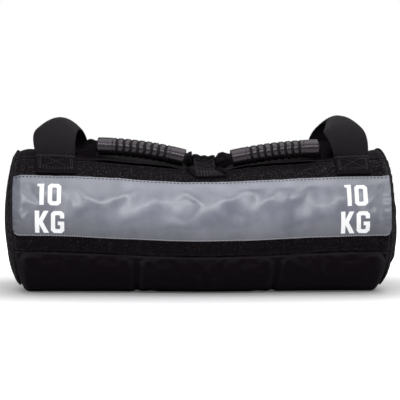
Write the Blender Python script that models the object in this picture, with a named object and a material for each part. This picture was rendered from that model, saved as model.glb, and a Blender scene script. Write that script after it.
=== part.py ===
"""Sandbag trainer of 10 kg, lying at rest on the floor. All lengths are in metres.

X runs along the bag, its front faces -Y, and Z = 0 is the floor under its middle. A place on
the bag's wall is given by its station along X and by an angle round the bag in degrees, which
is 0 at the front, 90 at the top, 180 at the back and 270 at the underside.
"""

import math

import bpy
from mathutils import Vector

# Cover: a slumped cylinder of coated cloth, sewn from four wall panels and two end panels
COVER_RADIUS = 0.0955
CLOTH = 0.0012
SEAM_GAP = 0.0003
PRESSED_FLAT = 0.004
SLUMP_DEPTH = 0.0175
SLUMP_HALF_LENGTH = 0.240
PINCH_DEPTH = 0.0122
PINCH_HALF_LENGTH = 0.070
PINCH_X = 0.012
FRONT_BULGE = 0.008
END_ROLL = 0.003
END_ROLL_LENGTH = 0.012
END_DOME = 0.015
END_DOME_DROP = 0.014
TOP_SEAM_ANGLE = 60.0
ZIP_ANGLE = 150.0
PAD_EDGE_ANGLE = 25.0

# How much of the slump each height of the wall takes, on its front and on its back
FRONT_SLUMP_SHARE = 0.40
BACK_FIRM_SHARE = 0.55
FACING_SHARE = 0.25
CREST_SHARE = 0.97
CREST_HELD_SHARE = 0.13

# Quilted pad on the underside, in three stuffed sections
PAD_CROWN = 0.0090
PAD_EDGE = 0.0025
PAD_CHANNEL = 0.0060
PAD_SQUASH = 0.0005
PAD_SEAT_GAP = 0.0006
PAD_END_MARGIN = 0.003
PAD_CHANNEL_X = 0.093
PAD_CHANNEL_SHIFT = 0.005
PAD_ROUNDING = 0.011
PAD_CORNER = 0.016

# Marking band of coated vinyl across the front
BAND_THICKNESS = 0.0008
BAND_END_MARGIN = 0.0015
BAND_TOP_ANGLE = 38.2
BAND_BOTTOM_ANGLE = -11.5

# Webbing of the two end loops
WEB_WIDTH = 0.052
WEB_THICKNESS = 0.0024
LOOP_BEYOND_GRIP = {"left": 0.0505, "right": 0.0350}
LOOP_TO_SEAM = 0.052
LOOP_HEIGHT = 0.047
LOOP_FOOT_LOW_ANGLE = 40.0
LOOP_FOOT_TOP_ANGLE = 65.0
LOOP_FLEX_HEIGHT = 0.018
LOOP_CUP = {"left": 0.016, "right": 0.011}
LOOP_SKEW = {"left": 0.012, "right": 0.021}
LOOP_SKEW_POWER = {"left": 2, "right": 1}

# Centre tab of webbing, straight on its left side and flared to the right at its feet
TAB_X = 0.004
TAB_FOOT_WIDTH = 0.043
TAB_WAIST_WIDTH = 0.031
TAB_LOW_ANGLE = 45.0
TAB_SEWN_TOP_ANGLE = 56.0
TAB_FRONT_LEAVES_ANGLE = 70.0
TAB_BACK_LEAVES_ANGLE = 80.0

# Carry handles: webbing gathered into a cord, and a ribbed rubber grip on each half
GRIP_LENGTH = 0.122
GRIP_RADIUS = 0.0123
GRIP_GROOVE = 0.0016
GRIP_BORE = 0.0092
GRIP_COLLAR = 0.020
GRIP_RIBS = 7
GRIP_BOW = 0.0035
GRIP_REST_GAP = 0.0006
GRIP_INNER_X = {"left": -0.0235, "right": 0.0430}
GRIP_INNER_Y = {"left": -0.036, "right": -0.039}
GRIP_DRIFT_ANGLE = {"left": 4.0, "right": 0.0}
CORE_RADIUS = 0.0078
CORE_REACH = 0.0015
FOOT_LENGTH = 0.034
FOOT_WIDTH = 0.048
FLARE_LENGTH = 0.012
FOOT_Y = -0.006
CENTRE_CORD_WIDTH = 0.017
CENTRE_CORD_HEIGHT = 0.0150
CENTRE_CORD_Y = -0.012
BUNCH_HEIGHT = 0.021

# Zip on the back shoulder, between the top panel and the back panel
ZIP_END_MARGIN = 0.015
ZIP_SLOT = 0.0086
ZIP_TAPE_WIDTH = 0.014
ZIP_TAPE = 0.0006
COIL_WIDTH = 0.0050
COIL_HEIGHT = 0.0020
SLIDER_LENGTH = 0.013
SLIDER_WALL = 0.0010
SLIDER_SIDE_GAP = 0.00035
BRIDGE_LENGTH = 0.0056
BRIDGE_WIDTH = 0.0014
BRIDGE_BAR = 0.0009
BRIDGE_OPENING = 0.0018
PULLER_LENGTH = 0.028
PULLER_WIDTH = 0.0060
PULLER_THICKNESS = 0.0011
PULLER_EYE_LENGTH = 0.0050
PULLER_ARM = 0.0012
STOP_LENGTH = 0.0035

# Filling: two tied sand bags end to end in a foam sleeve, with a foam disc at each end
FOAM_WALL = 0.0255
FOAM_BORE_DROP = 0.0056
FOAM_SLIT = 0.004
FOAM_DISC = 0.016
FILLER_SKIN = 0.0010
FILLER_GAP = 0.0006
FILLER_END_ROUND = 0.016
FILLER_NECK_RADIUS = 0.017
FILLER_NECK_LENGTH = 0.014
FILLER_SHOULDER = 0.016
FILLER_APART = 0.0040
TIE_RADIUS = 0.0022
BINDING_WIDTH = 0.010
BINDING_THICKNESS = 0.0006

# Fineness of the meshes, which every piece on the wall shares
STATION_STEP = 0.0350
WALL_STEP_ANGLE = 10.0
CORE_STEP_ANGLE = 20.0
STRAP_SHARES = (-1.0, -0.7, -0.35, 0.0, 0.35, 0.7, 1.0)
ARCH_STEPS = 16
GRIP_SIDES = 12
HALVINGS = 40
SHARP_ANGLE = 40.0
SIDES = {"left": -1, "right": 1}

# The end loops stand past the ends of the grips, and the cover reaches past the end loops
LOOP_X = {}
for name, sign in SIDES.items():
    LOOP_X[name] = GRIP_INNER_X[name] + sign * (GRIP_LENGTH + LOOP_BEYOND_GRIP[name])
COVER_LENGTH = LOOP_X["right"] - LOOP_X["left"] + 2 * LOOP_TO_SEAM
ZIP_LENGTH = COVER_LENGTH - 2 * ZIP_END_MARGIN
UNDERSIDE = PAD_CROWN + PAD_SEAT_GAP - PAD_SQUASH
AXIS_HEIGHT = UNDERSIDE - PRESSED_FLAT + COVER_RADIUS
FOAM_BORE_RADIUS = COVER_RADIUS - FOAM_WALL
FOAM_BORE_HEIGHT = AXIS_HEIGHT - FOAM_BORE_DROP
HALF_LENGTH = COVER_LENGTH / 2
ROLL_X = HALF_LENGTH - END_ROLL_LENGTH
STRAP_LIFT = 2 * SEAM_GAP + WEB_THICKNESS / 2
CHANNELS_X = (PAD_CHANNEL_SHIFT - PAD_CHANNEL_X, PAD_CHANNEL_SHIFT + PAD_CHANNEL_X)


def smooth_step(low, high, value):
    """0 below low, 1 above high, and a smooth rise between them."""
    t = min(max((value - low) / (high - low), 0.0), 1.0)
    return t * t * (3 - 2 * t)


def spread(start, stop, steps):
    """Evenly spaced values from start to stop, both included."""
    return [start + (stop - start) * i / steps for i in range(steps + 1)]


def grid(start, stop, step):
    """Both ends and the multiples of step between them, so that neighbours have like facets."""
    values = [start]
    for i in range(math.ceil(start / step), math.floor(stop / step) + 1):
        if start + step / 5 < i * step < stop - step / 5:
            values.append(i * step)
    return values + [stop]


def wall_angles(start, stop):
    """Angles from start to stop, close enough to follow the wall's roundness."""
    return grid(start, stop, WALL_STEP_ANGLE)


def stations(start, stop):
    """Stations from start to stop, closer by the pinch, with those where the ends roll in."""
    reach = math.ceil(PINCH_HALF_LENGTH / STATION_STEP)
    third = STATION_STEP / 3
    extra = [i * third for i in range(-3 * reach, 3 * reach + 1) if i % 3] + [-ROLL_X, ROLL_X]
    return sorted(grid(start, stop, STATION_STEP) + [x for x in extra if start < x < stop])


def dip(x, middle, half_length):
    """1 at a dip's middle, and 0 past its ends."""
    return math.cos(math.pi / 2 * min(abs(x - middle) / half_length, 1.0)) ** 2


def slump(x):
    """1 at the bag's middle, where it slumps most, and 0 where its ends hold it round."""
    return dip(x, 0, SLUMP_HALF_LENGTH)


def slump_share(ahead, up):
    """Share of the slump that a point on the wall sinks by, from its direction round the bag."""
    front = FRONT_SLUMP_SHARE * (1 - max(-up, 0.0) ** 4)
    front += (1 - FRONT_SLUMP_SHARE) * max(up, 0.0) ** 4
    back = smooth_step(BACK_FIRM_SHARE, 1, up)
    facing = smooth_step(-FACING_SHARE, FACING_SHARE, ahead)
    held = CREST_HELD_SHARE * smooth_step(CREST_SHARE, 1, up)
    return facing * front + (1 - facing) * back - held


def pinch_share(ahead, up):
    """Share of the pinch under the centre tab, which only the bag's top takes."""
    return max(up, 0.0) ** 6 if ahead > 0 else smooth_step(BACK_FIRM_SHARE, 1, up)


def wall(x, angle, lift=0.0):
    """Point on the cover's outer face, or lift outside it."""
    ahead, up = math.cos(math.radians(angle)), math.sin(math.radians(angle))
    facing = smooth_step(-FACING_SHARE, FACING_SHARE, ahead)
    roll = END_ROLL * max(abs(x) - ROLL_X, 0.0) / END_ROLL_LENGTH
    radius = COVER_RADIUS - roll * smooth_step(-1, 0, up)
    y = -ahead * (radius + FRONT_BULGE * slump(x) * facing)
    z = AXIS_HEIGHT + up * radius - SLUMP_DEPTH * slump(x) * slump_share(ahead, up)
    z -= PINCH_DEPTH * dip(x, PINCH_X, PINCH_HALF_LENGTH) * pinch_share(ahead, up)
    return Vector((x, y - ahead * lift, max(z, UNDERSIDE) + up * lift))


def top_height(x, y):
    """Height of the upper wall over the point (x, y) of the floor."""
    low, high = WALL_STEP_ANGLE, 180 - WALL_STEP_ANGLE
    for _ in range(HALVINGS):
        middle = (low + high) / 2
        if wall(x, middle).y < y:
            low = middle
        else:
            high = middle
    return wall(x, low).z


def angle_for(arc):
    """Angle that an arc of this length takes up on the wall."""
    return math.degrees(arc / COVER_RADIUS)


def make_material(name, colour, roughness, metallic=0.0):
    material = bpy.data.materials.new(name)
    material.use_nodes = True
    shader = material.node_tree.nodes["Principled BSDF"]
    shader.inputs["Base Color"].default_value = (*colour, 1.0)
    shader.inputs["Roughness"].default_value = roughness
    shader.inputs["Metallic"].default_value = metallic
    material.diffuse_color = (*colour, 1.0)
    return material


def skin(name, rings, material, closed=False, parent=None):
    """Solid whose surface runs through rings of points, capped at both ends or closed on itself."""
    origin = parent.location if parent else Vector()
    mesh = bpy.data.meshes.new(name)
    count = len(rings[0])
    points = [Vector(p) - origin for ring in rings for p in ring]
    faces = []
    for i in range(len(rings) if closed else len(rings) - 1):
        this, following = i * count, (i + 1) % len(rings) * count
        for j in range(count):
            k = (j + 1) % count
            faces.append((this + j, this + k, following + k, following + j))
    if not closed:
        last = len(points) - count
        for rung in cap_faces(count):
            faces.append(rung[::-1])
            faces.append(tuple(last + j for j in rung))
    mesh.from_pydata(points, [], faces)
    if signed_volume(mesh) < 0:
        mesh.flip_normals()
    mesh.shade_smooth()
    mesh.set_sharp_from_angle(angle=math.radians(SHARP_ANGLE))
    mesh.materials.append(material)
    piece = bpy.data.objects.new(name, mesh)
    bpy.context.scene.collection.objects.link(piece)
    piece.parent = parent
    return piece


def cap_faces(count):
    """Faces across a ring of points, each spanning from one side of the ring to the other."""
    faces = []
    for j in range((count - 1) // 2):
        far = count - 1 - j
        faces.append((j, j + 1, far - 1, far) if far - 1 > j + 1 else (j, j + 1, far))
    return faces


def signed_volume(mesh):
    """Volume that the mesh encloses, negative where its faces point inwards."""
    mesh.calc_loop_triangles()
    corners = [[mesh.vertices[v].co for v in t.vertices] for t in mesh.loop_triangles]
    return sum(a.dot(b.cross(c)) for a, b, c in corners) / 6


def pivot(name, place):
    """Empty on a joint's axis, which carries the pieces that move about it."""
    empty = bpy.data.objects.new(name, None)
    empty.location = place
    empty.empty_display_size = WEB_WIDTH / 2
    bpy.context.scene.collection.objects.link(empty)
    return empty


def wall_patch(name, places, angles, low_lift, high_lift, material):
    """Sheet that follows the wall between two lifts."""
    rings = []
    for x in places:
        outside = [wall(x, a, high_lift) for a in angles]
        inside = [wall(x, a, low_lift) for a in reversed(angles)]
        rings.append(outside + inside)
    return skin(name, rings, material)


def strap_rings(rows, thickness):
    """Rings of a strap whose middle surface runs through rows of points."""
    rings = []
    for i, row in enumerate(rows):
        before, after = rows[max(i - 1, 0)], rows[min(i + 1, len(rows) - 1)]
        top, bottom = [], []
        for j, point in enumerate(row):
            across = row[min(j + 1, len(row) - 1)] - row[max(j - 1, 0)]
            face = across.cross(after[j] - before[j]).normalized()
            top.append(point + face * thickness / 2)
            bottom.append(point - face * thickness / 2)
        rings.append(top + bottom[::-1])
    return rings


def cut_back(rings):
    """Rings with the last one drawn back by a seam gap, so that the next piece just clears it."""
    end = []
    for before, point in zip(rings[-2], rings[-1], strict=True):
        end.append(point.lerp(before, SEAM_GAP / (point - before).length))
    return rings[:-1] + [end]


def build_wall_panels(cloth, top_cloth):
    """The four panels of the wall, with a seam gap between them and a slot for the zip."""
    reach = HALF_LENGTH - SEAM_GAP
    seam = angle_for(SEAM_GAP) / 2
    slot = angle_for(ZIP_SLOT) / 2
    spans = {
        "front_panel": (-PAD_EDGE_ANGLE + seam, TOP_SEAM_ANGLE - seam, cloth),
        "top_panel": (TOP_SEAM_ANGLE + seam, ZIP_ANGLE - slot, top_cloth),
        "back_panel": (ZIP_ANGLE + slot, 180 + PAD_EDGE_ANGLE - seam, cloth),
        "base_panel": (180 + PAD_EDGE_ANGLE + seam, 360 - PAD_EDGE_ANGLE - seam, cloth),
    }
    for name, (start, stop, material) in spans.items():
        angles = wall_angles(start, stop)
        wall_patch(name, stations(-reach, reach), angles, -CLOTH, 0.0, material)


def build_end_panels(cloth):
    """Domed end panels, pushed out by the filling, most of all below the middle."""
    angles = wall_angles(0, 360)[:-1]
    dome_shares = (0.1, 0.45, 0.75, 0.92, 1.0)
    for side, way in SIDES.items():
        seam_x = HALF_LENGTH * way
        centre = Vector((seam_x, 0, AXIS_HEIGHT - END_DOME_DROP))
        rings = []
        for lift, order in ((CLOTH, dome_shares), (0.0, reversed(dome_shares))):
            for share in order:
                out = Vector((SEAM_GAP + lift + END_DOME * (1 - share**4), 0, 0)) * way
                rings.append([centre.lerp(wall(seam_x, a), share) + out for a in angles])
        skin(f"{side}_end_panel", rings, cloth)


def build_bindings(tape):
    """Binding tape that closes the seam allowances inside each end seam."""
    high = -CLOTH - SEAM_GAP
    low = high - BINDING_THICKNESS
    for side, way in SIDES.items():
        outer_x = (HALF_LENGTH - SEAM_GAP) * way
        inner_x = outer_x - BINDING_WIDTH * way
        outline = ((outer_x, high), (outer_x, low), (inner_x, low), (inner_x, high))
        rings = [[wall(x, a, lift) for x, lift in outline] for a in wall_angles(0, 360)[:-1]]
        skin(f"{side}_end_binding", rings, tape, closed=True)


def build_band(vinyl):
    """Marking band, sewn on the front panel from end seam to end seam."""
    reach = HALF_LENGTH - BAND_END_MARGIN
    angles = wall_angles(BAND_BOTTOM_ANGLE, BAND_TOP_ANGLE)
    low = SEAM_GAP
    wall_patch("marking_band", stations(-reach, reach), angles, low, low + BAND_THICKNESS, vinyl)


def stuffed(distance, rounding):
    """Rise of a stuffed edge, from 0 at the stitches to 1 past the rounding."""
    t = min(max(distance / rounding, 0.0), 1.0)
    return math.sqrt(1 - (1 - t) ** 2)


def pad_thickness(x, across, reach):
    """Thickness of the pad at a distance in from its long edge, drawn in where it is sewn."""
    corner = PAD_CORNER * (1 - stuffed(across, PAD_CORNER))
    inside = min(max(reach - corner - abs(x), 0.0), across)
    filled = PAD_CROWN - PAD_CHANNEL
    from_channel = min(abs(x - channel) for channel in CHANNELS_X)
    full = PAD_CHANNEL + filled * stuffed(from_channel, PAD_ROUNDING)
    return PAD_EDGE + (full - PAD_EDGE) * stuffed(inside, PAD_ROUNDING)


def pad_places(reach):
    """Stations of the pad, close together at its ends and by its sewn channels."""
    slope = PAD_ROUNDING / 3
    places = stations(-reach, reach)
    for channel in CHANNELS_X:
        places = [x for x in places if abs(x - channel) > 2 * PAD_ROUNDING]
        places += [channel + slope * i for i in (-3, -1, 0, 1, 3)]
    places = [x for x in places if abs(x) < reach - PAD_ROUNDING] + [-ROLL_X, ROLL_X]
    for way in SIDES.values():
        places += [(reach - slope * i) * way for i in (0, 1, 2)]
    return sorted(places)


def build_base_pad(cloth):
    """Pad under the bag, on which it stands: its lowest part lies flat on the floor."""
    reach = HALF_LENGTH - PAD_END_MARGIN
    start = 180 + PAD_EDGE_ANGLE + angle_for(SEAM_GAP)
    stop = 360 - PAD_EDGE_ANGLE - angle_for(SEAM_GAP)
    rounding = angle_for(PAD_ROUNDING)
    angles = [start, start + rounding / 4]
    angles += wall_angles(start + rounding, stop - rounding)
    angles += [stop - rounding / 4, stop]
    rings = []
    for x in pad_places(reach):
        outside = []
        for a in angles:
            across = COVER_RADIUS * math.radians(min(a - start, stop - a))
            point = wall(x, a, PAD_SEAT_GAP + pad_thickness(x, across, reach))
            outside.append(Vector((x, point.y, max(point.z, 0.0))))
        inside = [wall(x, a, PAD_SEAT_GAP) for a in reversed(angles)]
        rings.append(outside + inside)
    skin("base_pad", rings, cloth)


def build_end_loop(side, webbing):
    """Loop of webbing over one end of the bag, sewn down at both of its feet.

    Each foot goes up into a short leg that bends when the loop is pushed over, and the arch
    between the legs stands up for the hand.
    """
    inward = -LOOP_SKEW[side] * SIDES[side]
    places = [LOOP_X[side] + WEB_WIDTH / 2 * share for share in STRAP_SHARES]
    sewn = wall_angles(LOOP_FOOT_LOW_ANGLE, LOOP_FOOT_TOP_ANGLE)
    front = [[wall(x, a, STRAP_LIFT) for x in places] for a in sewn]
    back = [[wall(x + inward, 180 - a, STRAP_LIFT) for x in places] for a in reversed(sewn)]
    apex = AXIS_HEIGHT + COVER_RADIUS + LOOP_HEIGHT - WEB_THICKNESS / 2
    arch = []
    for turn in spread(0, math.pi, ARCH_STEPS)[1:-1]:
        over = (1 - math.cos(turn)) / 2
        row = []
        for near, far, share in zip(front[-1], back[0], STRAP_SHARES, strict=True):
            point = near.lerp(far, over)
            point.x = near.x + (far.x - near.x) * over ** LOOP_SKEW_POWER[side]
            point.z += (apex - LOOP_CUP[side] * share**2 - point.z) * math.sin(turn)
            row.append(point)
        arch.append(row)
    rows = front + arch + back
    rings = strap_rings(rows, WEB_THICKNESS)

    middle = len(STRAP_SHARES) // 2
    foot_front, foot_back = front[-1][middle], back[0][middle]
    flex_top = max(foot_front.z, foot_back.z) + LOOP_FLEX_HEIGHT
    standing = [i for i, row in enumerate(rows) if row[middle].z > flex_top]
    first, last = standing[0], standing[-1]
    near, far = len(front) - 1, len(rows) - len(back)
    carrier = pivot(f"{side}_loop_pivot", (foot_front + foot_back) / 2)
    skin(f"{side}_loop_arch", rings[first : last + 1], webbing, parent=carrier)
    skin(f"{side}_loop_front_leg", cut_back(rings[near : first + 1]), webbing)
    skin(f"{side}_loop_back_leg", cut_back(rings[last : far + 1][::-1]), webbing)
    skin(f"{side}_loop_front_foot", cut_back(rings[: near + 1]), webbing)
    skin(f"{side}_loop_back_foot", cut_back(rings[far:][::-1]), webbing)


def build_centre_tab(webbing):
    """Webbing tab that straps the gathered handle down on the middle of the bag."""
    left_edge = TAB_X - TAB_WAIST_WIDTH / 2
    shoulder = CENTRE_CORD_WIDTH / 2 + WEB_THICKNESS

    def places(width):
        return [left_edge + width * (1 + share) / 2 for share in STRAP_SHARES]

    def crest_row(y, drop):
        over = CENTRE_CORD_HEIGHT / 2 + 2 * SEAM_GAP + WEB_THICKNESS / 2 - drop
        middles = [centre_cord_middle(x) for x in places(TAB_WAIST_WIDTH)]
        return [p + Vector((0, y, over)) for p in middles]

    def foot_row(a, behind):
        flare = max(TAB_SEWN_TOP_ANGLE - a, 0.0) / (TAB_SEWN_TOP_ANGLE - TAB_LOW_ANGLE)
        width = TAB_WAIST_WIDTH + (TAB_FOOT_WIDTH - TAB_WAIST_WIDTH) * flare
        return [wall(x, 180 - a if behind else a, STRAP_LIFT) for x in places(width)]

    front = [foot_row(a, False) for a in wall_angles(TAB_LOW_ANGLE, TAB_FRONT_LEAVES_ANGLE)]
    back = [foot_row(a, True) for a in wall_angles(TAB_LOW_ANGLE, TAB_BACK_LEAVES_ANGLE)]
    side_drop = CENTRE_CORD_HEIGHT / 2
    crest = [crest_row(-shoulder, side_drop), crest_row(-shoulder / 2, 0.0), crest_row(0.0, 0.0)]
    crest += [crest_row(shoulder / 2, 0.0), crest_row(shoulder, side_drop)]
    rows = front + crest + back[::-1]
    skin("centre_tab", strap_rings(rows, WEB_THICKNESS), webbing)


def resting_height(x, y):
    """Height of a grip's centre where it lies on the upper wall at (x, y)."""
    heights = []
    for offset in spread(-GRIP_RADIUS, GRIP_RADIUS, 8):
        over = math.sqrt(max(GRIP_RADIUS**2 - offset**2, 0.0))
        heights.append(top_height(x, y + offset) + over)
    return max(heights) + GRIP_REST_GAP


class Grip:
    """Line of one grip: a shallow bow from its inner end, by the tab, to its outer end."""

    def __init__(self, side):
        drift = math.radians(GRIP_DRIFT_ANGLE[side])
        plan = Vector((SIDES[side] * math.cos(drift), math.sin(drift), 0))
        self.inner = Vector((GRIP_INNER_X[side], GRIP_INNER_Y[side], 0))
        self.inner.z = resting_height(self.inner.x, self.inner.y)
        outer = self.inner + plan * GRIP_LENGTH
        outer.z = resting_height(outer.x, outer.y)
        self.along = (outer - self.inner).normalized()
        self.up = (Vector((0, 0, 1)) - self.along * self.along.z).normalized()
        self.side = self.up.cross(self.along).normalized()
        places = [self.place(d) for d in spread(0, GRIP_LENGTH, 8)]
        self.inner.z += max(resting_height(p.x, p.y) - p.z for p in places)

    def place(self, distance):
        """Centre of the grip at a distance from its inner end."""
        share = distance / GRIP_LENGTH
        bow = 4 * GRIP_BOW * share * (1 - share)
        return self.inner + self.along * distance + self.up * bow

    def ring(self, distance, radius, count):
        """Round ring square to the grip's line."""
        share = distance / GRIP_LENGTH
        climb = 4 * GRIP_BOW * (1 - 2 * share) / GRIP_LENGTH
        up = (self.up - self.along * climb).normalized()
        return oval(self.place(distance), self.side, up, radius, radius, count)

    def middle(self):
        """Point on the straight line about which the bowed grip rolls."""
        return self.inner + self.along * (GRIP_LENGTH / 2) + self.up * (GRIP_BOW * 2 / 3)


def oval(centre, side, up, half_width, half_height, count):
    """Oval ring of points round a centre, which starts at the side and goes over the top."""
    turns = [2 * math.pi * (i + 1 / 2) / count for i in range(count)]
    rise, reach = up * half_height, side * half_width
    return [centre + rise * math.sin(t) - reach * math.cos(t) for t in turns]


def grip_profile():
    """Distances and radii along a grip: a plain collar, ribs and grooves, and a collar."""
    pitch = (GRIP_LENGTH - 2 * GRIP_COLLAR) / GRIP_RIBS
    groove = pitch / 3
    chamfer = groove / 4
    low = GRIP_RADIUS - GRIP_GROOVE
    profile = [(0.0, GRIP_RADIUS - chamfer), (chamfer, GRIP_RADIUS)]
    for i in range(GRIP_RIBS + 1):
        start = GRIP_COLLAR + i * pitch - groove / 2
        profile += [(start, GRIP_RADIUS), (start + chamfer, low)]
        profile += [(start + groove - chamfer, low), (start + groove, GRIP_RADIUS)]
    return profile + [(GRIP_LENGTH - chamfer, GRIP_RADIUS), (GRIP_LENGTH, GRIP_RADIUS - chamfer)]


def build_handle(side, webbing, rubber):
    """One carry handle: sewn foot, flare, gathered core, grip, and the cord in to the tab."""
    line = Grip(side)
    way = SIDES[side]
    count = 2 * len(STRAP_SHARES)
    carrier = pivot(f"{side}_grip_pivot", line.middle())
    rings = [line.ring(d, r, GRIP_SIDES) for d, r in grip_profile()]
    rings += [line.ring(d, GRIP_BORE, GRIP_SIDES) for d in spread(GRIP_LENGTH, 0, 4)]
    skin(f"{side}_grip", rings, rubber, closed=True, parent=carrier)

    inner_end, outer_end = -CORE_REACH, GRIP_LENGTH + CORE_REACH
    core = [line.ring(d, CORE_RADIUS, count) for d in spread(inner_end, outer_end, 6)]
    skin(f"{side}_grip_core", core, webbing, parent=carrier)

    # The foot lies flat on the top panel, reaching in under the end loop
    outer = line.place(outer_end + SEAM_GAP)
    near_x = outer.x + way * FLARE_LENGTH
    rows = []
    for x in spread(near_x, near_x + way * FOOT_LENGTH, 2):
        row = [Vector((x, FOOT_Y + FOOT_WIDTH / 2 * s, 0)) for s in STRAP_SHARES]
        for point in row:
            point.z = top_height(x, point.y) + STRAP_LIFT
        rows.append(row)
    foot = strap_rings(rows, WEB_THICKNESS)
    if foot[0][0].z < foot[0][-1].z:
        foot = strap_rings([row[::-1] for row in rows], WEB_THICKNESS)
    skin(f"{side}_handle_foot", foot, webbing)

    # The flare gathers the flat webbing up into the round core
    gathered = line.ring(outer_end + SEAM_GAP, CORE_RADIUS, count)
    if (gathered[0] - gathered[count // 2]).dot(foot[0][0] - foot[0][count // 2]) < 0:
        half = count // 2
        gathered = gathered[:half][::-1] + gathered[half:][::-1]
    rise = Vector((0, 0, STRAP_LIFT))
    halfway = [a.lerp(b, 1 / 2) + rise for a, b in zip(gathered, foot[0], strict=True)]
    flare = [gathered, halfway, foot[0]]
    skin(f"{side}_handle_flare", cut_back(flare), webbing)

    # Between the grip's inner end and the tab the cord is bare and bunches up
    meet = centre_cord_middle(TAB_X + way * (TAB_WAIST_WIDTH / 2 + SEAM_GAP))
    start = line.place(inner_end - SEAM_GAP)
    bend = start.lerp(meet, 1 / 2)
    bend.z = top_height(bend.x, bend.y + CORE_RADIUS) + 2 * SEAM_GAP + BUNCH_HEIGHT / 2
    rings = [
        line.ring(inner_end - SEAM_GAP, CORE_RADIUS, count),
        oval(bend, line.side, line.up, CORE_RADIUS, BUNCH_HEIGHT / 2, count),
        oval(meet, line.side.project(Vector((0, 1, 0))).normalized(), Vector((0, 0, 1)),
             CENTRE_CORD_WIDTH / 2, CENTRE_CORD_HEIGHT / 2, count),
    ]
    skin(f"{side}_handle_cord", rings, webbing)


def centre_cord_middle(x):
    """Middle of the gathered webbing that crosses under the tab."""
    low = top_height(x, CENTRE_CORD_Y) + 2 * SEAM_GAP
    return Vector((x, CENTRE_CORD_Y, low + CENTRE_CORD_HEIGHT / 2))


def build_centre_cord(webbing):
    """Stretch of the gathered webbing that lies under the tab."""
    side, up = Vector((0, 1, 0)), Vector((0, 0, 1))
    half_width, half_height = CENTRE_CORD_WIDTH / 2, CENTRE_CORD_HEIGHT / 2
    rings = []
    for x in spread(TAB_X - TAB_WAIST_WIDTH / 2, TAB_X + TAB_WAIST_WIDTH / 2, 2):
        centre = centre_cord_middle(x)
        rings.append(oval(centre, side, up, half_width, half_height, 2 * len(STRAP_SHARES)))
    skin("handle_centre_cord", rings, webbing)


def zip_place(x, across, out):
    """Point by the zip: across runs down over the tapes, and out away from the bag."""
    turn = math.radians(ZIP_ANGLE)
    start = wall(0, ZIP_ANGLE)
    down = Vector((0, math.sin(turn), math.cos(turn)))
    outward = Vector((0, -math.cos(turn), math.sin(turn)))
    return Vector((x, start.y, start.z)) + down * across + outward * out


def zip_bar(name, ends, outline, material, parent=None):
    """Bar along the zip with the given cross-section, in across and out."""
    rings = [[zip_place(x, across, out) for across, out in outline] for x in ends]
    return skin(name, rings, material, parent=parent)


def channel_outline(half_width, low, high):
    """Upside-down U that straddles the coil."""
    inner, roof = half_width - SLIDER_WALL, high - SLIDER_WALL
    outside = [(-half_width, low), (-half_width, high), (half_width, high), (half_width, low)]
    return outside + [(inner, low), (inner, roof), (-inner, roof), (-inner, low)]


def build_zip(tape, nylon, metal):
    """Tapes, coil, end stops, slider and puller."""
    half = ZIP_LENGTH / 2
    tape_high = -CLOTH - 2 * SEAM_GAP
    tape_low = tape_high - ZIP_TAPE
    split, width = angle_for(SEAM_GAP) / 2, angle_for(ZIP_TAPE_WIDTH)
    places = stations(-half, half)
    upper = wall_angles(ZIP_ANGLE - width, ZIP_ANGLE - split)
    lower = wall_angles(ZIP_ANGLE + split, ZIP_ANGLE + width)
    wall_patch("zip_tape_upper", places, upper, tape_low, tape_high, tape)
    wall_patch("zip_tape_lower", places, lower, tape_low, tape_high, tape)

    coil_low = tape_high + SEAM_GAP
    turns = spread(0, math.pi, 6)
    round_outline = [
        (-math.cos(t) * COIL_WIDTH / 2, coil_low + COIL_HEIGHT * math.sin(t)) for t in turns
    ]
    zip_bar("zip_coil", (-half, half), round_outline, nylon)

    roof = coil_low + COIL_HEIGHT + SEAM_GAP + SLIDER_WALL
    outline = channel_outline(ZIP_SLOT / 2 - SLIDER_SIDE_GAP, coil_low, roof)
    for side, way in SIDES.items():
        zip_bar(f"zip_{side}_stop", ((half - STOP_LENGTH) * way, half * way), outline, metal)

    # The slider is parked against the right-hand stop, and its bridge holds the puller
    slider_x = half - STOP_LENGTH - SEAM_GAP - SLIDER_LENGTH / 2
    ends = (slider_x - SLIDER_LENGTH / 2, slider_x + SLIDER_LENGTH / 2)
    carrier = pivot("zip_slider_pivot", zip_place(slider_x, 0, roof))
    slider = zip_bar("zip_slider", ends, outline, metal, parent=carrier)
    join = slider.modifiers.new("bridge", "BOOLEAN")
    join.operation = "UNION"
    join.object = bridge_shape(slider_x, roof, metal)
    build_puller(slider_x, roof + BRIDGE_OPENING / 2, metal)


def bridge_shape(x, roof, metal):
    """Arch on the slider's roof, sunk a little into it so that the two become one body."""
    low, high = roof - SLIDER_WALL / 2, roof + BRIDGE_OPENING + BRIDGE_BAR
    outer, inner = BRIDGE_LENGTH / 2, BRIDGE_LENGTH / 2 - BRIDGE_BAR
    under = high - BRIDGE_BAR
    outline = [(-outer, low), (-outer, high), (outer, high), (outer, low)]
    outline += [(inner, low), (inner, under), (-inner, under), (-inner, low)]
    rings = []
    for across in (-BRIDGE_WIDTH / 2, BRIDGE_WIDTH / 2):
        rings.append([zip_place(x + along, across, out) for along, out in outline])
    bridge = skin("zip_bridge_shape", rings, metal)
    bridge.hide_render = True
    bridge.display_type = "WIRE"
    return bridge


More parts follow.
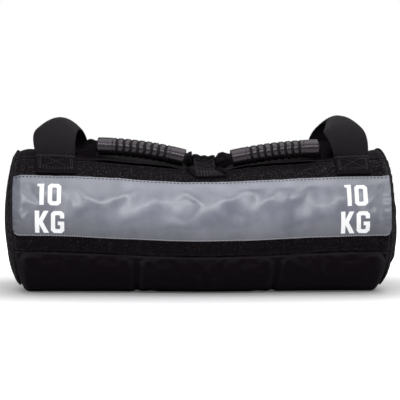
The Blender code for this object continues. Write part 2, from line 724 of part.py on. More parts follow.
def build_puller(x, axis_out, metal):
    """Flat puller with an eye round the bridge, lying back along the closed zip."""
    half_bar = PULLER_THICKNESS / 2
    half_width = PULLER_WIDTH / 2
    inner_width = half_width - PULLER_ARM
    outer = ((half_bar, half_width), (half_bar - PULLER_LENGTH, half_width))
    eye = ((-half_bar, inner_width), (-half_bar - PULLER_EYE_LENGTH, inner_width))
    rings = []
    for (near, far), out in ((outer, half_bar), (outer, -half_bar), (eye, -half_bar), (eye, half_bar)):
        corners = [(near[0], -near[1]), (far[0], -far[1]), far, near]
        rings.append([zip_place(x + along, across, axis_out + out) for along, across in corners])
    carrier = pivot("zip_puller_pivot", zip_place(x, 0, axis_out))
    skin("zip_puller", rings, metal, closed=True, parent=carrier)


def core_ring(x, radius, angles):
    """Ring of the foam's bore or of what lies in it."""
    ring = []
    for a in angles:
        turn = math.radians(a)
        y, z = -math.cos(turn) * radius, math.sin(turn) * radius
        ring.append(Vector((x, y, FOAM_BORE_HEIGHT + z)))
    return ring


def core_angles(start, stop):
    """Angles of the foam and of what lies in it, counted from the zip."""
    return [ZIP_ANGLE + a for a in grid(start, stop, CORE_STEP_ANGLE)]


def build_foam(foam):
    """Foam sleeve, slit under the zip so that it opens there, and the two end discs."""
    lift = -CLOTH - 3 * SEAM_GAP - max(ZIP_TAPE, BINDING_THICKNESS)
    reach = HALF_LENGTH - SEAM_GAP - FOAM_DISC
    slit = angle_for(FOAM_SLIT) / 2
    angles = core_angles(slit, 360 - slit)
    rings = []
    for x in stations(-reach, reach):
        outside = [wall(x, a, lift) for a in angles]
        rings.append(outside + core_ring(x, FOAM_BORE_RADIUS, angles)[::-1])
    skin("foam_sleeve", rings, foam)

    angles = core_angles(0, 360)[:-1]
    disc_shares = (0.15, 0.6, 0.9, 1.0)
    for side, way in SIDES.items():
        seam_x = HALF_LENGTH * way
        centre = Vector((seam_x, 0, AXIS_HEIGHT - END_DOME_DROP))
        rim = [wall(seam_x, a, lift) for a in angles]
        rings = [[Vector(((reach + SEAM_GAP) * way, p.y, p.z)) for p in rim]]
        for share in reversed(disc_shares):
            out = Vector(((END_DOME - 2 * SEAM_GAP) * (1 - share**4) - SEAM_GAP, 0, 0)) * way
            rings.append([centre.lerp(wall(seam_x, a, lift), share) + out for a in angles])
        skin(f"{side}_foam_disc", rings, foam)


def filler_profile(offset):
    """Distances from the middle and radii of a full bag, from its shoulder to its closed end."""
    radius = FOAM_BORE_RADIUS - FILLER_GAP - offset
    end = HALF_LENGTH - 2 * SEAM_GAP - FOAM_DISC - offset
    shoulder = FILLER_APART / 2 + FILLER_NECK_LENGTH + FILLER_SHOULDER + offset
    profile = [(shoulder, radius)]
    for turn in spread(0, math.pi / 2, 3):
        along = end - FILLER_END_ROUND * (1 - math.sin(turn))
        profile.append((along, radius - FILLER_END_ROUND * (1 - math.cos(turn))))
    return profile


def build_fillers(cloth, sand, cord):
    """Two tied sand bags, their necks facing each other at the bag's middle."""
    angles = core_angles(0, 360)[:-1]
    mouth = FILLER_APART / 2
    neck = mouth + FILLER_NECK_LENGTH
    narrow = FILLER_NECK_RADIUS - FILLER_SKIN
    outside = [(mouth, FILLER_NECK_RADIUS), (neck, FILLER_NECK_RADIUS)] + filler_profile(0.0)
    inside = [(mouth, narrow), (neck + FILLER_SKIN, narrow)] + filler_profile(FILLER_SKIN)
    offset = FILLER_SKIN + SEAM_GAP
    fill = [(neck, narrow - SEAM_GAP), (neck + offset, narrow - SEAM_GAP)]
    fill += filler_profile(offset)
    for side, way in SIDES.items():
        profile = inside[::-1] + outside
        rings = [core_ring(along * way, radius, angles) for along, radius in profile]
        skin(f"{side}_filler_skin", rings, cloth)
        rings = [core_ring(along * way, radius, angles) for along, radius in fill]
        skin(f"{side}_sand_fill", rings, sand)

        across = Vector((1, 0, 0))
        tie_x = (mouth + neck) / 2 * way
        ring_radius = FILLER_NECK_RADIUS + SEAM_GAP + TIE_RADIUS
        centre = Vector((tie_x, 0, FOAM_BORE_HEIGHT))
        rings = []
        for point in core_ring(tie_x, ring_radius, angles):
            rings.append(oval(point, across, (point - centre).normalized(), TIE_RADIUS, TIE_RADIUS, 6))
        skin(f"{side}_filler_tie", rings, cord, closed=True)


def main():
    for old in list(bpy.data.objects):
        bpy.data.objects.remove(old)

    cloth = make_material("black_cloth", (0.020, 0.018, 0.020), 0.82)
    top_cloth = make_material("black_coated_cloth", (0.022, 0.020, 0.022), 0.55)
    pad_cloth = make_material("pad_cloth", (0.014, 0.012, 0.014), 0.75)
    vinyl = make_material("grey_vinyl", (0.25, 0.26, 0.31), 0.42)
    webbing = make_material("black_webbing", (0.022, 0.019, 0.022), 0.78)
    rubber = make_material("black_rubber", (0.030, 0.026, 0.028), 0.38)
    tape = make_material("black_tape", (0.016, 0.016, 0.017), 0.85)
    nylon = make_material("black_nylon", (0.020, 0.020, 0.021), 0.45)
    metal = make_material("blackened_metal", (0.045, 0.045, 0.048), 0.35, 0.9)
    foam = make_material("grey_foam", (0.35, 0.35, 0.36), 0.95)
    liner = make_material("liner_cloth", (0.10, 0.10, 0.11), 0.7)
    sand = make_material("dry_sand", (0.55, 0.44, 0.30), 0.95)

    build_wall_panels(cloth, top_cloth)
    build_end_panels(cloth)
    build_bindings(tape)
    build_band(vinyl)
    build_base_pad(pad_cloth)
    for side in SIDES:
        build_end_loop(side, webbing)
        build_handle(side, webbing, rubber)
    build_centre_cord(webbing)
    build_centre_tab(webbing)
    build_zip(tape, nylon, metal)
    build_foam(foam)
    build_fillers(liner, sand, tape)


main()
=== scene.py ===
import math

import bpy
import bmesh
import numpy as np
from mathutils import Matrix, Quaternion, Vector


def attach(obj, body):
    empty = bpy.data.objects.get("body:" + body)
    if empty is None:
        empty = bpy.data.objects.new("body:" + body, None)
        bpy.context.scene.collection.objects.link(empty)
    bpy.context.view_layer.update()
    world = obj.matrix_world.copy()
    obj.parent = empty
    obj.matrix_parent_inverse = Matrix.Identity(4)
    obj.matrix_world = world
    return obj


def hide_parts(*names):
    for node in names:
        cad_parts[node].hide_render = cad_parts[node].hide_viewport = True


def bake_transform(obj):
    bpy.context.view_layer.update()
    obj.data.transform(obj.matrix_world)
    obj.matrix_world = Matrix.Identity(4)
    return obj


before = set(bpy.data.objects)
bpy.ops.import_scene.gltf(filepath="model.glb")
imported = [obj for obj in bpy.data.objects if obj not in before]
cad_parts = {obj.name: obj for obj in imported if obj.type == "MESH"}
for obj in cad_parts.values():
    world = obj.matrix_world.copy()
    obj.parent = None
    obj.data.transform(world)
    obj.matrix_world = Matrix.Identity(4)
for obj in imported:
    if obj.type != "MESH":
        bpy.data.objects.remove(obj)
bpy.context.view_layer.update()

# The studio: a pale floor that runs off to white, a wide soft box overhead, a large soft window
# from the front left and a weak one from the right. The bag is seen almost level, from 1.3 m.
CAMERA_LENS_MM = 85.0
CAMERA_FILM_MM = 36.0
CAMERA_AIM = Vector((0.0, 0.0, 0.125))
CAMERA_DISTANCE = 1.335
CAMERA_YAW = math.radians(-3.0)
CAMERA_RISE = math.radians(2.0)
CAMERA_ROLL = math.radians(0.25)
WHITE = (1.0, 1.0, 1.0, 1.0)


def stand(name, data):
    """New object in the scene."""
    thing = bpy.data.objects.new(name, data)
    bpy.context.scene.collection.objects.link(thing)
    return thing


film = bpy.data.cameras.new("camera")
film.lens, film.sensor_width, film.clip_start = CAMERA_LENS_MM, CAMERA_FILM_MM, 0.01
camera = stand("camera", film)
away = Vector((math.sin(CAMERA_YAW) * math.cos(CAMERA_RISE),
               -math.cos(CAMERA_YAW) * math.cos(CAMERA_RISE), math.sin(CAMERA_RISE)))
camera.location = CAMERA_AIM + away * CAMERA_DISTANCE
camera.rotation_mode = "QUATERNION"
camera.rotation_quaternion = (-away).to_track_quat("-Z", "Y") @ Quaternion((0, 0, 1), CAMERA_ROLL)
bpy.context.scene.camera = camera
bpy.context.scene.view_settings.view_transform = "Standard"


def feed(tree, node, inputs):
    """Give a node its inputs, each a plain value or another node's socket."""
    for key, value in dict(inputs).items():
        if isinstance(value, bpy.types.NodeSocket):
            tree.links.new(value, node.inputs[key])
        else:
            node.inputs[key].default_value = value


def wire(tree, kind, inputs=(), **settings):
    """Outputs of a new shader node with these settings and inputs."""
    node = tree.nodes.new("ShaderNode" + kind)
    for key, value in settings.items():
        setattr(node, key, value)
    feed(tree, node, inputs)
    return node.outputs


def sums(tree, operation, *terms):
    """Result of a sum on sockets and plain numbers."""
    return wire(tree, "Math", dict(enumerate(terms)), operation=operation)[0]


def times(tree, a, b):
    return sums(tree, "MULTIPLY", a, b)


def graded(tree, value, by, plus):
    """The value times by, plus a value."""
    return sums(tree, "MULTIPLY_ADD", value, by, plus)


def span(tree, value, low, high, to_low=0.0, to_high=1.0):
    """The value's place between low and high, set over to another span."""
    return wire(tree, "MapRange", {"Value": value, "From Min": low, "From Max": high,
                                   "To Min": to_low, "To Max": to_high})[0]


def object_place(tree):
    return wire(tree, "TexCoord")["Object"]


def new_finish(name):
    """New material, its tree and its main shader."""
    finish = bpy.data.materials.new(name)
    finish.use_nodes = True
    return finish, finish.node_tree, finish.node_tree.nodes["Principled BSDF"]


FLOOR_REACH = 4.5
FLOOR_COLOUR = (0.86, 0.86, 0.87, 1.0)
FLOOR_LIFT = 0.06
FLOOR_FADE = (0.13, 0.45)
FLOOR_FADE_SCALE = (0.4, 1.0, 1.0)
SKY_LEVEL = 0.34

plane = bpy.data.meshes.new("floor")
corners = ((-1, -1), (1, -1), (1, 1), (-1, 1))
plane.from_pydata([(x * FLOOR_REACH, y * FLOOR_REACH, 0) for x, y in corners], [], [(0, 1, 2, 3)])
floor = stand("floor", plane)
paper, tree, shader = new_finish("floor_paper")
spot = wire(tree, "Mapping", {"Vector": object_place(tree), "Scale": FLOOR_FADE_SCALE})[0]
reached = wire(tree, "VectorMath", {0: spot}, operation="LENGTH")["Value"]
# The floor glows for the camera only: a little near the bag, fully from the far end of FLOOR_FADE. So the
# floor darkens towards the bag, painted shadow on top of the lamps' own shadow.
lit = times(tree, wire(tree, "LightPath")["Is Camera Ray"],
            span(tree, reached, *FLOOR_FADE, FLOOR_LIFT))
feed(tree, shader, {"Base Color": FLOOR_COLOUR, "Roughness": 0.9, "Specular IOR Level": 0.1,
                    "Emission Color": WHITE, "Emission Strength": lit})
plane.materials.append(paper)

world = bpy.data.worlds.new("studio")
world.use_nodes = True
bpy.context.scene.world = world
tree = world.node_tree
tree.nodes.clear()
path = wire(tree, "LightPath")
seen = sums(tree, "MAXIMUM", path["Is Camera Ray"], path["Is Transmission Ray"])
sky = wire(tree, "Background", {"Color": WHITE, "Strength": span(tree, seen, 0.0, 1.0, SKY_LEVEL)})[0]
wire(tree, "OutputWorld", {"Surface": sky})

SOFT_BOXES = {
    "overhead": ((0.10, -0.20, 1.75), (2.6, 1.7), 24.0),
    "window": ((-1.05, -1.55, 1.00), (1.1, 1.1), 4.0),
    "front_strip": ((-0.05, -1.45, 1.02), (1.7, 0.14), 8.8),
    "side_fill": ((1.45, -1.05, 0.75), (0.8, 1.1), 4.0),
    "back_rim": ((0.2, 1.5, 1.15), (1.8, 0.6), 1.5),
}
for name, (place, size, watts) in SOFT_BOXES.items():
    lamp = bpy.data.lights.new(name, "AREA")
    lamp.shape, lamp.size, lamp.size_y, lamp.energy = "RECTANGLE", *size, watts
    holder = stand(name, lamp)
    holder.location = place
    holder.rotation_euler = (CAMERA_AIM - Vector(place)).to_track_quat("-Z", "Y").to_euler()


# The cover's wall: four panels of coated polyester round a slumped cylinder 191 mm thick. The
# front, back and base are coarse speckled cloth, and the top panel is smoother and glossier.
# They meet in sewn seams that sink between the panels, and the sewing draws small puckers.
COVER_RADIUS = 0.0955
COVER_AXIS_HEIGHT = 0.1006
COVER_UNDERSIDE = 0.0091
COVER_REACH = 0.2497
COVER_ROLL_X = 0.238
ROLL_LEFT, ROLL_RIGHT, ROLL_LENGTH = 0.003, -0.0024, 0.012
SLUMP_HALF_LENGTH, SLUMP_FORWARD, SLUMP_DROP = 0.240, 0.008, 0.0175
PINCH_X, PINCH_HALF_LENGTH, PINCH_DROP = 0.012, 0.070, 0.0122
CLOTH = 0.0012
SHOULDER_SEAM_ANGLE = 60.0
ZIP_ANGLE = 150.0
PAD_EDGE_ANGLE = 25.0
SEAM_GAP = 0.0003
ZIP_SLOT = 0.0086
ARC = np.radians(1) * COVER_RADIUS


def ease(low, high, value):
    """0 below low, 1 above high, and a smooth rise between them."""
    t = np.clip((value - low) / (high - low), 0, 1)
    return t * t * (3 - 2 * t)


def dip(x, middle, half_length):
    return np.cos(np.pi / 2 * np.minimum(np.abs(x - middle) / half_length, 1)) ** 2


def hump(value, middle, width):
    """1 at the middle, falling away smoothly over the width."""
    return np.exp(-(((value - middle) / width) ** 2))


def wall(x, angle, lift=0.0):
    """Points on the bag's wall: station along the bag, degrees round it from the front over
    the top, and height off the cloth."""
    x, angle, lift = np.broadcast_arrays(x, angle, lift)
    ahead, up = np.cos(np.radians(angle)), np.sin(np.radians(angle))
    facing = ease(-0.25, 0.25, ahead)
    slump = dip(x, 0, SLUMP_HALF_LENGTH)
    front = 0.40 * (1 - np.maximum(-up, 0) ** 4) + 0.60 * np.maximum(up, 0) ** 4
    share = facing * front + (1 - facing) * ease(0.55, 1, up) - 0.13 * ease(0.97, 1, up)
    pinched = np.where(ahead > 0, np.maximum(up, 0) ** 6, ease(0.55, 1, up))
    beyond = np.maximum(np.abs(x) - COVER_ROLL_X, 0)
    roll = np.where(x < 0, ROLL_LEFT, ROLL_RIGHT) * beyond / ROLL_LENGTH
    radius = COVER_RADIUS - roll * ease(-1, 0, up)
    y = -ahead * (radius + SLUMP_FORWARD * slump * facing)
    z = COVER_AXIS_HEIGHT + up * radius - SLUMP_DROP * slump * share
    z = z - PINCH_DROP * dip(x, PINCH_X, PINCH_HALF_LENGTH) * pinched
    z = np.maximum(z, COVER_UNDERSIDE)
    pulled = np.where(x < 0, -0.0028 * up, 0.0012 * np.maximum(up, 0)) * ease(0.19, 0.25, np.abs(x))
    return np.stack([x + pulled, y - ahead * lift, z + up * lift], -1)


def waves(seed, along, across, x, angle):
    """Smooth random relief, about -1 to 1, of that many waves a metre along and round the bag."""
    pick = np.random.default_rng(seed)
    arc = np.radians(angle) * COVER_RADIUS
    total = 0
    for _ in range(7):
        a, b = pick.normal(0, along), pick.normal(0, across)
        total = total + np.sin(2 * np.pi * (a * x + b * arc) + pick.uniform(0, 2 * np.pi))
    return total / 2.6


def fold(x, angle, start, end, width):
    """A soft ridge from one (station, angle) to another, fading at both ends."""
    px, pa = x - start[0], (angle - start[1]) * ARC
    dx, da = end[0] - start[0], (end[1] - start[1]) * ARC
    length = math.hypot(dx, da)
    s = (px * dx + pa * da) / length**2
    off = (px * da - pa * dx) / length
    return hump(off, 0, width) * ease(0, 0.3, s) * ease(1, 0.6, s)


# Ends of each fold in the cloth, its width and its height
FOLDS = (
    ((0.150, 40.0), (0.185, 60.0), 0.0035, 0.0012), ((0.128, 42.0), (0.158, 58.0), 0.0030, 0.0007),
    ((-0.150, 56.0), (-0.120, 44.0), 0.0035, 0.0006), ((-0.060, 56.0), (-0.030, 43.0), 0.0040, 0.0007),
    ((0.045, 44.0), (0.085, 57.0), 0.0040, 0.0007), ((-0.225, 42.0), (-0.200, 55.0), 0.003, 0.0006),
    ((0.205, 44.0), (0.236, 50.0), 0.0032, 0.0009), ((-0.236, -20.0), (-0.205, -6.0), 0.004, 0.0010),
    ((0.205, -8.0), (0.240, -19.0), 0.0040, 0.0010), ((-0.125, -24.0), (-0.120, -12.0), 0.003, 0.0006),
    ((-0.085, -24.0), (-0.088, -12.0), 0.003, 0.0006), ((0.050, -23.0), (0.046, -12.0), 0.003, 0.0005),
    ((-0.180, 166.0), (-0.120, 176.0), 0.005, 0.0012), ((0.020, 160.0), (0.090, 184.0), 0.006, 0.0012),
    ((0.140, 190.0), (0.215, 168.0), 0.005, 0.0013), ((-0.060, 196.0), (-0.010, 172.0), 0.006, 0.0011),
    ((-0.232, 186.0), (-0.205, 166.0), 0.004, 0.0012), ((0.150, 128.0), (0.120, 112.0), 0.004, 0.0009),
    ((-0.125, 110.0), (-0.095, 132.0), 0.004, 0.0009), ((0.040, 104.0), (0.075, 122.0), 0.005, 0.0010),
    ((-0.012, 108.0), (-0.055, 126.0), 0.005, 0.0010), ((0.225, 100.0), (0.205, 128.0), 0.004, 0.0009),
)

# Middles and half lengths of the stretches of seam in front of the grips
UNDER_GRIPS = ((-0.090, 0.066), (0.096, 0.068))

# Where the inner ends of the grips press into the cloth
GRIP_HOLLOWS = (-0.036, 0.054)
GRIP_HOLLOW_DEPTH, GRIP_HOLLOW_WIDTH = 0.0014, 0.026

# Where the cord pulls the cloth up a little behind the ends of the grips
GRIP_RIDGES = ((-0.0325, 0.014, 0.0056), (0.0335, 0.012, 0.0044), (-0.1560, 0.014, 0.0030),
               (-0.0950, 0.045, 0.0019))


def seam_roll(x, angle):
    """How far the top panel's turned-under lower edge stands up. The grips push it forward most."""
    over = np.radians(angle - SHOULDER_SEAM_ANGLE) * COVER_RADIUS
    pushed = sum(ease(half, half - 0.026, np.abs(x - station)) for station, half in UNDER_GRIPS)
    lip = 1 - np.clip(over / 0.0016, 0, 1)
    falling = np.exp(-over / (0.0030 + 0.0012 * pushed)) * (over > 0)
    return (0.0024 + 0.0036 * pushed) * np.sqrt(1 - 0.40 * lip**2) * falling


RIM_PUCKER, RIM_PUCKER_DEGREES, RIM_SINK = 0.0005, 7.2, 0.0011
SEAM_SINK, SEAM_SINK_WIDTH = 0.0021, 0.0012
SEAM_PUCKER, SEAM_PUCKER_LENGTH = 0.00028, 0.0115


def relief(x, angle):
    """How far the filled cloth stands off the plain wall: swells, folds, puckers and seams."""
    x, angle = np.broadcast_arrays(x, angle)
    top = ease(55, 72, angle) * ease(122, 108, angle)
    swell = 0.0006 * waves(11, 9, 9, x, angle) + 0.00028 * waves(12, 30, 22, x, angle)
    height = swell * (1 - 0.75 * top) - 0.0003 * top
    behind_grips = ease(78, 89, angle) * ease(114, 99, angle)
    for station, half, rise in GRIP_RIDGES:
        height = height + rise * behind_grips * hump(x, station, half)
    for start, end, width, rise in FOLDS:
        height = height + rise * fold(x, angle, start, end, width)
    for station in GRIP_HOLLOWS:
        pressed = ease(61.5, 65, angle) * ease(80, 74, angle)
        height = height - GRIP_HOLLOW_DEPTH * hump(x, station, GRIP_HOLLOW_WIDTH) * pressed
    rim = COVER_REACH - np.abs(x)
    pucker = np.sin(2 * np.pi * angle / RIM_PUCKER_DEGREES + 2.2 * np.sin(angle / 9))
    height = height + RIM_PUCKER * pucker * np.exp(-rim / 0.010) * ease(0, 0.004, rim)
    height = height - RIM_SINK * np.exp(-rim / 0.0022)
    gather = np.sin(2 * np.pi * x / SEAM_PUCKER_LENGTH + 2 * np.sin(x * 55))
    for seam in (SHOULDER_SEAM_ANGLE, -PAD_EDGE_ANGLE, 360 - PAD_EDGE_ANGLE, 180 + PAD_EDGE_ANGLE):
        off = np.abs(angle - seam) * ARC
        height = height - SEAM_SINK * hump(off, 0, SEAM_SINK_WIDTH)
        height = height + SEAM_PUCKER * gather * np.exp(-off / 0.006)
    return height + seam_roll(x, angle)


def cover(x, angle, lift=0.0):
    return wall(x, angle, lift + relief(x, angle))


def unit(directions):
    return directions / np.linalg.norm(directions, axis=-1, keepdims=True)


def outward(x, angle):
    """Directions square off the wall."""
    step = 0.0005
    along = wall(x + step, angle) - wall(x - step, angle)
    normal = unit(np.cross(along, wall(x, angle + 0.4) - wall(x, angle - 0.4)))
    radial = wall(x, angle, 0.01) - wall(x, angle)
    return normal * np.sign((normal * radial).sum(-1, keepdims=True))


def crossed(a, b):
    """Two grids, of the first values along it and of the second across it."""
    return np.meshgrid(a, b, indexing="ij")


def flat_places(x, angle):
    """Places of points of the wall on its cloth laid flat, in metres."""
    return np.stack(np.broadcast_arrays(x, np.radians(angle) * COVER_RADIUS), -1)


def turn_out(mesh):
    """Turn a mesh's faces outwards."""
    shape = bmesh.new()
    shape.from_mesh(mesh)
    bmesh.ops.recalc_face_normals(shape, faces=shape.faces)
    shape.to_mesh(mesh)
    shape.free()


def solid(name, points, faces, finish, sharp=None, threads=None, out=True):
    """Object of closed faces. threads holds the place on the flat cloth of each face's corners,
    and edges that turn by more than sharp degrees stay sharp."""
    mesh = bpy.data.meshes.new(name)
    mesh.from_pydata(np.asarray(points).tolist(), [], faces)
    if threads is not None:
        mesh.uv_layers.new(name="cloth").data.foreach_set("uv", np.ravel(threads))
    if out:
        turn_out(mesh)
    mesh.shade_smooth()
    if sharp:
        mesh.set_sharp_from_angle(angle=math.radians(sharp))
    mesh.materials.append(finish)
    return stand(name, mesh)


def shell(name, outside, inside, threads, finish, closed=False):
    """Solid piece between two grids of points. threads holds each point's place on the flat
    cloth in metres; a grid closed on itself has one more column of it."""
    rows, columns = outside.shape[:2]
    count = rows * columns
    index = np.arange(count).reshape(rows, columns)
    flat = np.arange(rows * threads.shape[1]).reshape(rows, -1)
    if closed:
        index = np.concatenate([index, index[:, :1]], 1)
    front, uv = (np.stack([at[:-1, :-1], at[1:, :-1], at[1:, 1:], at[:-1, 1:]], -1).reshape(-1, 4)
                 for at in (index, flat))
    faces, places = [front, front[:, ::-1] + count], [uv, uv[:, ::-1]]
    sides = [(index[0], flat[0]), (index[-1][::-1], flat[-1][::-1])]
    if not closed:
        sides += [(index[:, 0][::-1], flat[:, 0][::-1]), (index[:, -1], flat[:, -1])]
    for run, uv_run in sides:
        faces.append(np.stack([run[1:], run[:-1], run[:-1] + count, run[1:] + count], -1))
        places.append(np.stack([uv_run[1:], uv_run[:-1], uv_run[:-1], uv_run[1:]], -1))
    points = np.concatenate([outside.reshape(-1, 3), inside.reshape(-1, 3)])
    corners = threads.reshape(-1, 2)[np.concatenate(places).ravel()]
    return solid(name, points, np.concatenate(faces).tolist(), finish, 50, corners)


def noise(tree, where, scale, detail=2.0, roughness=0.5):
    grain = {"Vector": where, "Scale": scale, "Detail": detail, "Roughness": roughness}
    return wire(tree, "TexNoise", grain)["Fac"]


def scaled(tree, colour, by):
    return wire(tree, "VectorMath", {0: colour, "Scale": by}, operation="SCALE")[0]


def mix(tree, share, low, high):
    """Colour between two, each a plain colour or a socket."""
    low, high = (c if isinstance(c, bpy.types.NodeSocket) else (*c, 1) for c in (low, high))
    return wire(tree, "Mix", {"Factor": share, 6: low, 7: high}, data_type="RGBA")[2]


def group(name, inputs, outputs):
    """Empty shader node group with these sockets, what it is given, and its output node."""
    tree = bpy.data.node_groups.new(name, "ShaderNodeTree")
    for title, default in inputs.items():
        socket = tree.interface.new_socket(title, in_out="INPUT", socket_type="NodeSocketFloat")
        socket.default_value = default
    for title in outputs:
        tree.interface.new_socket(title, in_out="OUTPUT", socket_type="NodeSocketFloat")
    return tree, tree.nodes.new("NodeGroupInput").outputs, tree.nodes.new("NodeGroupOutput")


def dress(tree, shader, colour, rough, height, strength, depth, more=()):
    """Give a finish its colour, roughness and fine relief, and more of the shader's values."""
    bump = wire(tree, "Bump", {"Height": height, "Strength": strength, "Distance": depth})[0]
    feed(tree, shader, {"Base Color": colour, "Roughness": rough, "Normal": bump, **dict(more)})


# Plain weave, for every woven cloth here: threads over and under each other along the cloth's
# own U and V, uneven in thickness, with flecks where a thread catches the light.
weave, given, gives = group("plain_weave", {"Thread": 0.0006, "Fleck Size": 0.0016, "Unevenness": 0.5},
                            ("Height", "Flecks", "Cloudiness"))
laid = wire(weave, "UVMap", uv_map="cloth")[0]
split = wire(weave, "SeparateXYZ", {0: laid})
turns = sums(weave, "DIVIDE", math.pi, given["Thread"])
warp, weft = (sums(weave, "SINE", times(weave, split[i], turns)) for i in (0, 1))
count = sums(weave, "DIVIDE", 1.0, given["Fleck Size"])
fine = noise(weave, laid, count, 3.0, 0.65)
drawn = wire(weave, "Mapping", {"Vector": laid, "Scale": (1.0, 7.0, 1.0)})[0]
slub = noise(weave, drawn, times(weave, count, 0.35))
uneven = times(weave, sums(weave, "ADD", fine, slub), given["Unevenness"])
feed(weave, gives, {"Height": graded(weave, times(weave, warp, weft), 0.5, uneven),
                    "Flecks": span(weave, fine, 0.575, 0.68),
                    "Cloudiness": noise(weave, laid, 14.0, 3.0)})

# Handling wear: rubbed ridges and a little dust caught low down, in broad uneven patches.
wear, given, gives = group("handling_wear", {"Patch Size": 0.05}, ("Rubbed", "Dust"))
where = object_place(wear)
patch = noise(wear, where, sums(wear, "DIVIDE", 1.0, given["Patch Size"]), 4.0, 0.6)
raised = span(wear, wire(wear, "NewGeometry")["Pointiness"], 0.505, 0.56)
settled = span(wear, wire(wear, "SeparateXYZ", {0: where})[2], 0.07, 0.0)
feed(wear, gives, {"Rubbed": times(wear, raised, patch),
                   "Dust": times(wear, times(wear, settled, patch), noise(wear, where, 420.0))})


SHINE_TINT = (1.0, 0.86, 1.0, 1)


def woven(name, dark, light, roughness, thread, fleck_size, bump, unevenness=0.5, gloss=0.12,
          glint=0.0, fewer_glints_below=None, use=1.0):
    """Finish of a woven cloth: its two thread colours, gloss, thread size and depth of weave."""
    finish, tree, shader = new_finish(name)
    sizes = {"Thread": thread, "Fleck Size": fleck_size, "Unevenness": unevenness}
    height, flecks, cloudy = wire(tree, "Group", sizes, node_tree=weave)
    rubbed, dust = wire(tree, "Group", node_tree=wear)
    # Painted light: below this height the flecks fade to 30 %, as less light falls low on the front.
    if fewer_glints_below:
        up = wire(tree, "SeparateXYZ", {0: object_place(tree)})[2]
        flecks = times(tree, flecks, span(tree, up, fewer_glints_below - 0.02, fewer_glints_below + 0.02, 0.30))
    # The light fleck colour is partly speckled thread, partly a painted glint where a thread catches the
    # light.
    toned = scaled(tree, mix(tree, flecks, dark, light), span(tree, cloudy, 0.3, 0.7, 0.82, 1.15))
    greyed = mix(tree, times(tree, rubbed, use), toned, (0.040, 0.037, 0.041))
    dusty = mix(tree, times(tree, dust, 0.025 * use), greyed, (0.16, 0.15, 0.14))
    dull = span(tree, cloudy, 0.3, 0.7, roughness - 0.06, min(roughness + 0.07, 1.0))
    rough = graded(tree, flecks, -0.35 * roughness, dull)
    dress(tree, shader, dusty, rough, height, bump, thread,
          {"Specular IOR Level": gloss, "Specular Tint": SHINE_TINT,
           "Coat Weight": times(tree, flecks, glint), "Coat Roughness": 0.32})
    return finish


coarse_cloth = woven("coarse_cloth", (0.0014, 0.0007, 0.0015), (0.022, 0.018, 0.023), 0.80,
                     0.0007, 0.0021, 0.8, glint=1.0, fewer_glints_below=0.075)
coated_cloth = woven("coated_cloth", (0.0044, 0.0028, 0.0045), (0.0077, 0.0055, 0.0079), 0.60,
                     0.0005, 0.0009, 0.25, 0.3, gloss=0.035)
# Painted shade: a near-black copy of the coated cloth, without wear, for the turned lip at the shoulder
# seam.
seam_shade = woven("coated_cloth_painted_seam_shade", (0.0006, 0.0003, 0.0006), (0.0010, 0.0006, 0.0010), 0.90,
                   0.0005, 0.0009, 0.1, 0.3, gloss=0.0, use=0.0)

PANELS = {
    "front_panel": (-PAD_EDGE_ANGLE, SHOULDER_SEAM_ANGLE, coarse_cloth, "black_cloth"),
    "top_panel": (SHOULDER_SEAM_ANGLE, ZIP_ANGLE, coated_cloth, "black_coated_cloth"),
    "back_panel": (ZIP_ANGLE, 180 + PAD_EDGE_ANGLE, coarse_cloth, "black_cloth"),
    "base_panel": (180 + PAD_EDGE_ANGLE, 360 - PAD_EDGE_ANGLE, coarse_cloth, "black_cloth"),
}
PANEL_STEP = 0.0026
EDGE_STEPS = np.degrees(np.array([0, 0.0004, 0.0008, 0.0012, 0.0017]) / COVER_RADIUS)
for node, (low, high, finish, slot_name) in PANELS.items():
    seam, slot_half = (math.degrees(gap / 2 / COVER_RADIUS) for gap in (SEAM_GAP, ZIP_SLOT))
    low += slot_half if low == ZIP_ANGLE else seam
    high -= slot_half if high == ZIP_ANGLE else seam
    round_it = math.radians(high - low) * COVER_RADIUS
    angles = np.concatenate([low + EDGE_STEPS, np.linspace(low, high, round(round_it / PANEL_STEP))[1:-1],
                             high - EDGE_STEPS[::-1]])
    xs = np.linspace(-COVER_REACH, COVER_REACH, round(2 * COVER_REACH / PANEL_STEP))
    gx, ga = crossed(xs, angles)
    piece = shell(f"{node}_cloth", cover(gx, ga), cover(gx, ga, -CLOTH - seam_roll(gx, ga)),
                  flat_places(gx, ga), finish)
    if node == "top_panel":
        # The top panel's turned lip is painted near-black, as shade under the lip.
        piece.data.materials.append(seam_shade)
        at_lip = np.tile(np.arange(gx.size) % gx.shape[1] == 0, 2)
        for face in piece.data.polygons:
            if at_lip[list(face.vertices)].all():
                face.material_index = 1
    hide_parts(node)
    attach(piece, "bag")


# The two end panels: discs of the coarse cloth, sewn in at the end seams and pushed out by the
# filling, most of all below the middle. The sewing gathers their rims into small pleats.
END_SEAM_X = 0.250
END_DOME = 0.015
END_DOME_DROP = 0.009
END_RIM_PLEAT = 0.0009
END_HEM = 0.004
END_CREASES = ((198.0, 0.80, 226.0, 0.97), (214.0, 0.72, 205.0, 0.98), (150.0, 0.70, 172.0, 0.96),
               (335.0, 0.74, 352.0, 0.97), (20.0, 0.70, 8.0, 0.95), (262.0, 0.76, 290.0, 0.95),
               (95.0, 0.66, 78.0, 0.94), (120.0, 0.35, 60.0, 0.62), (250.0, 0.30, 300.0, 0.66))

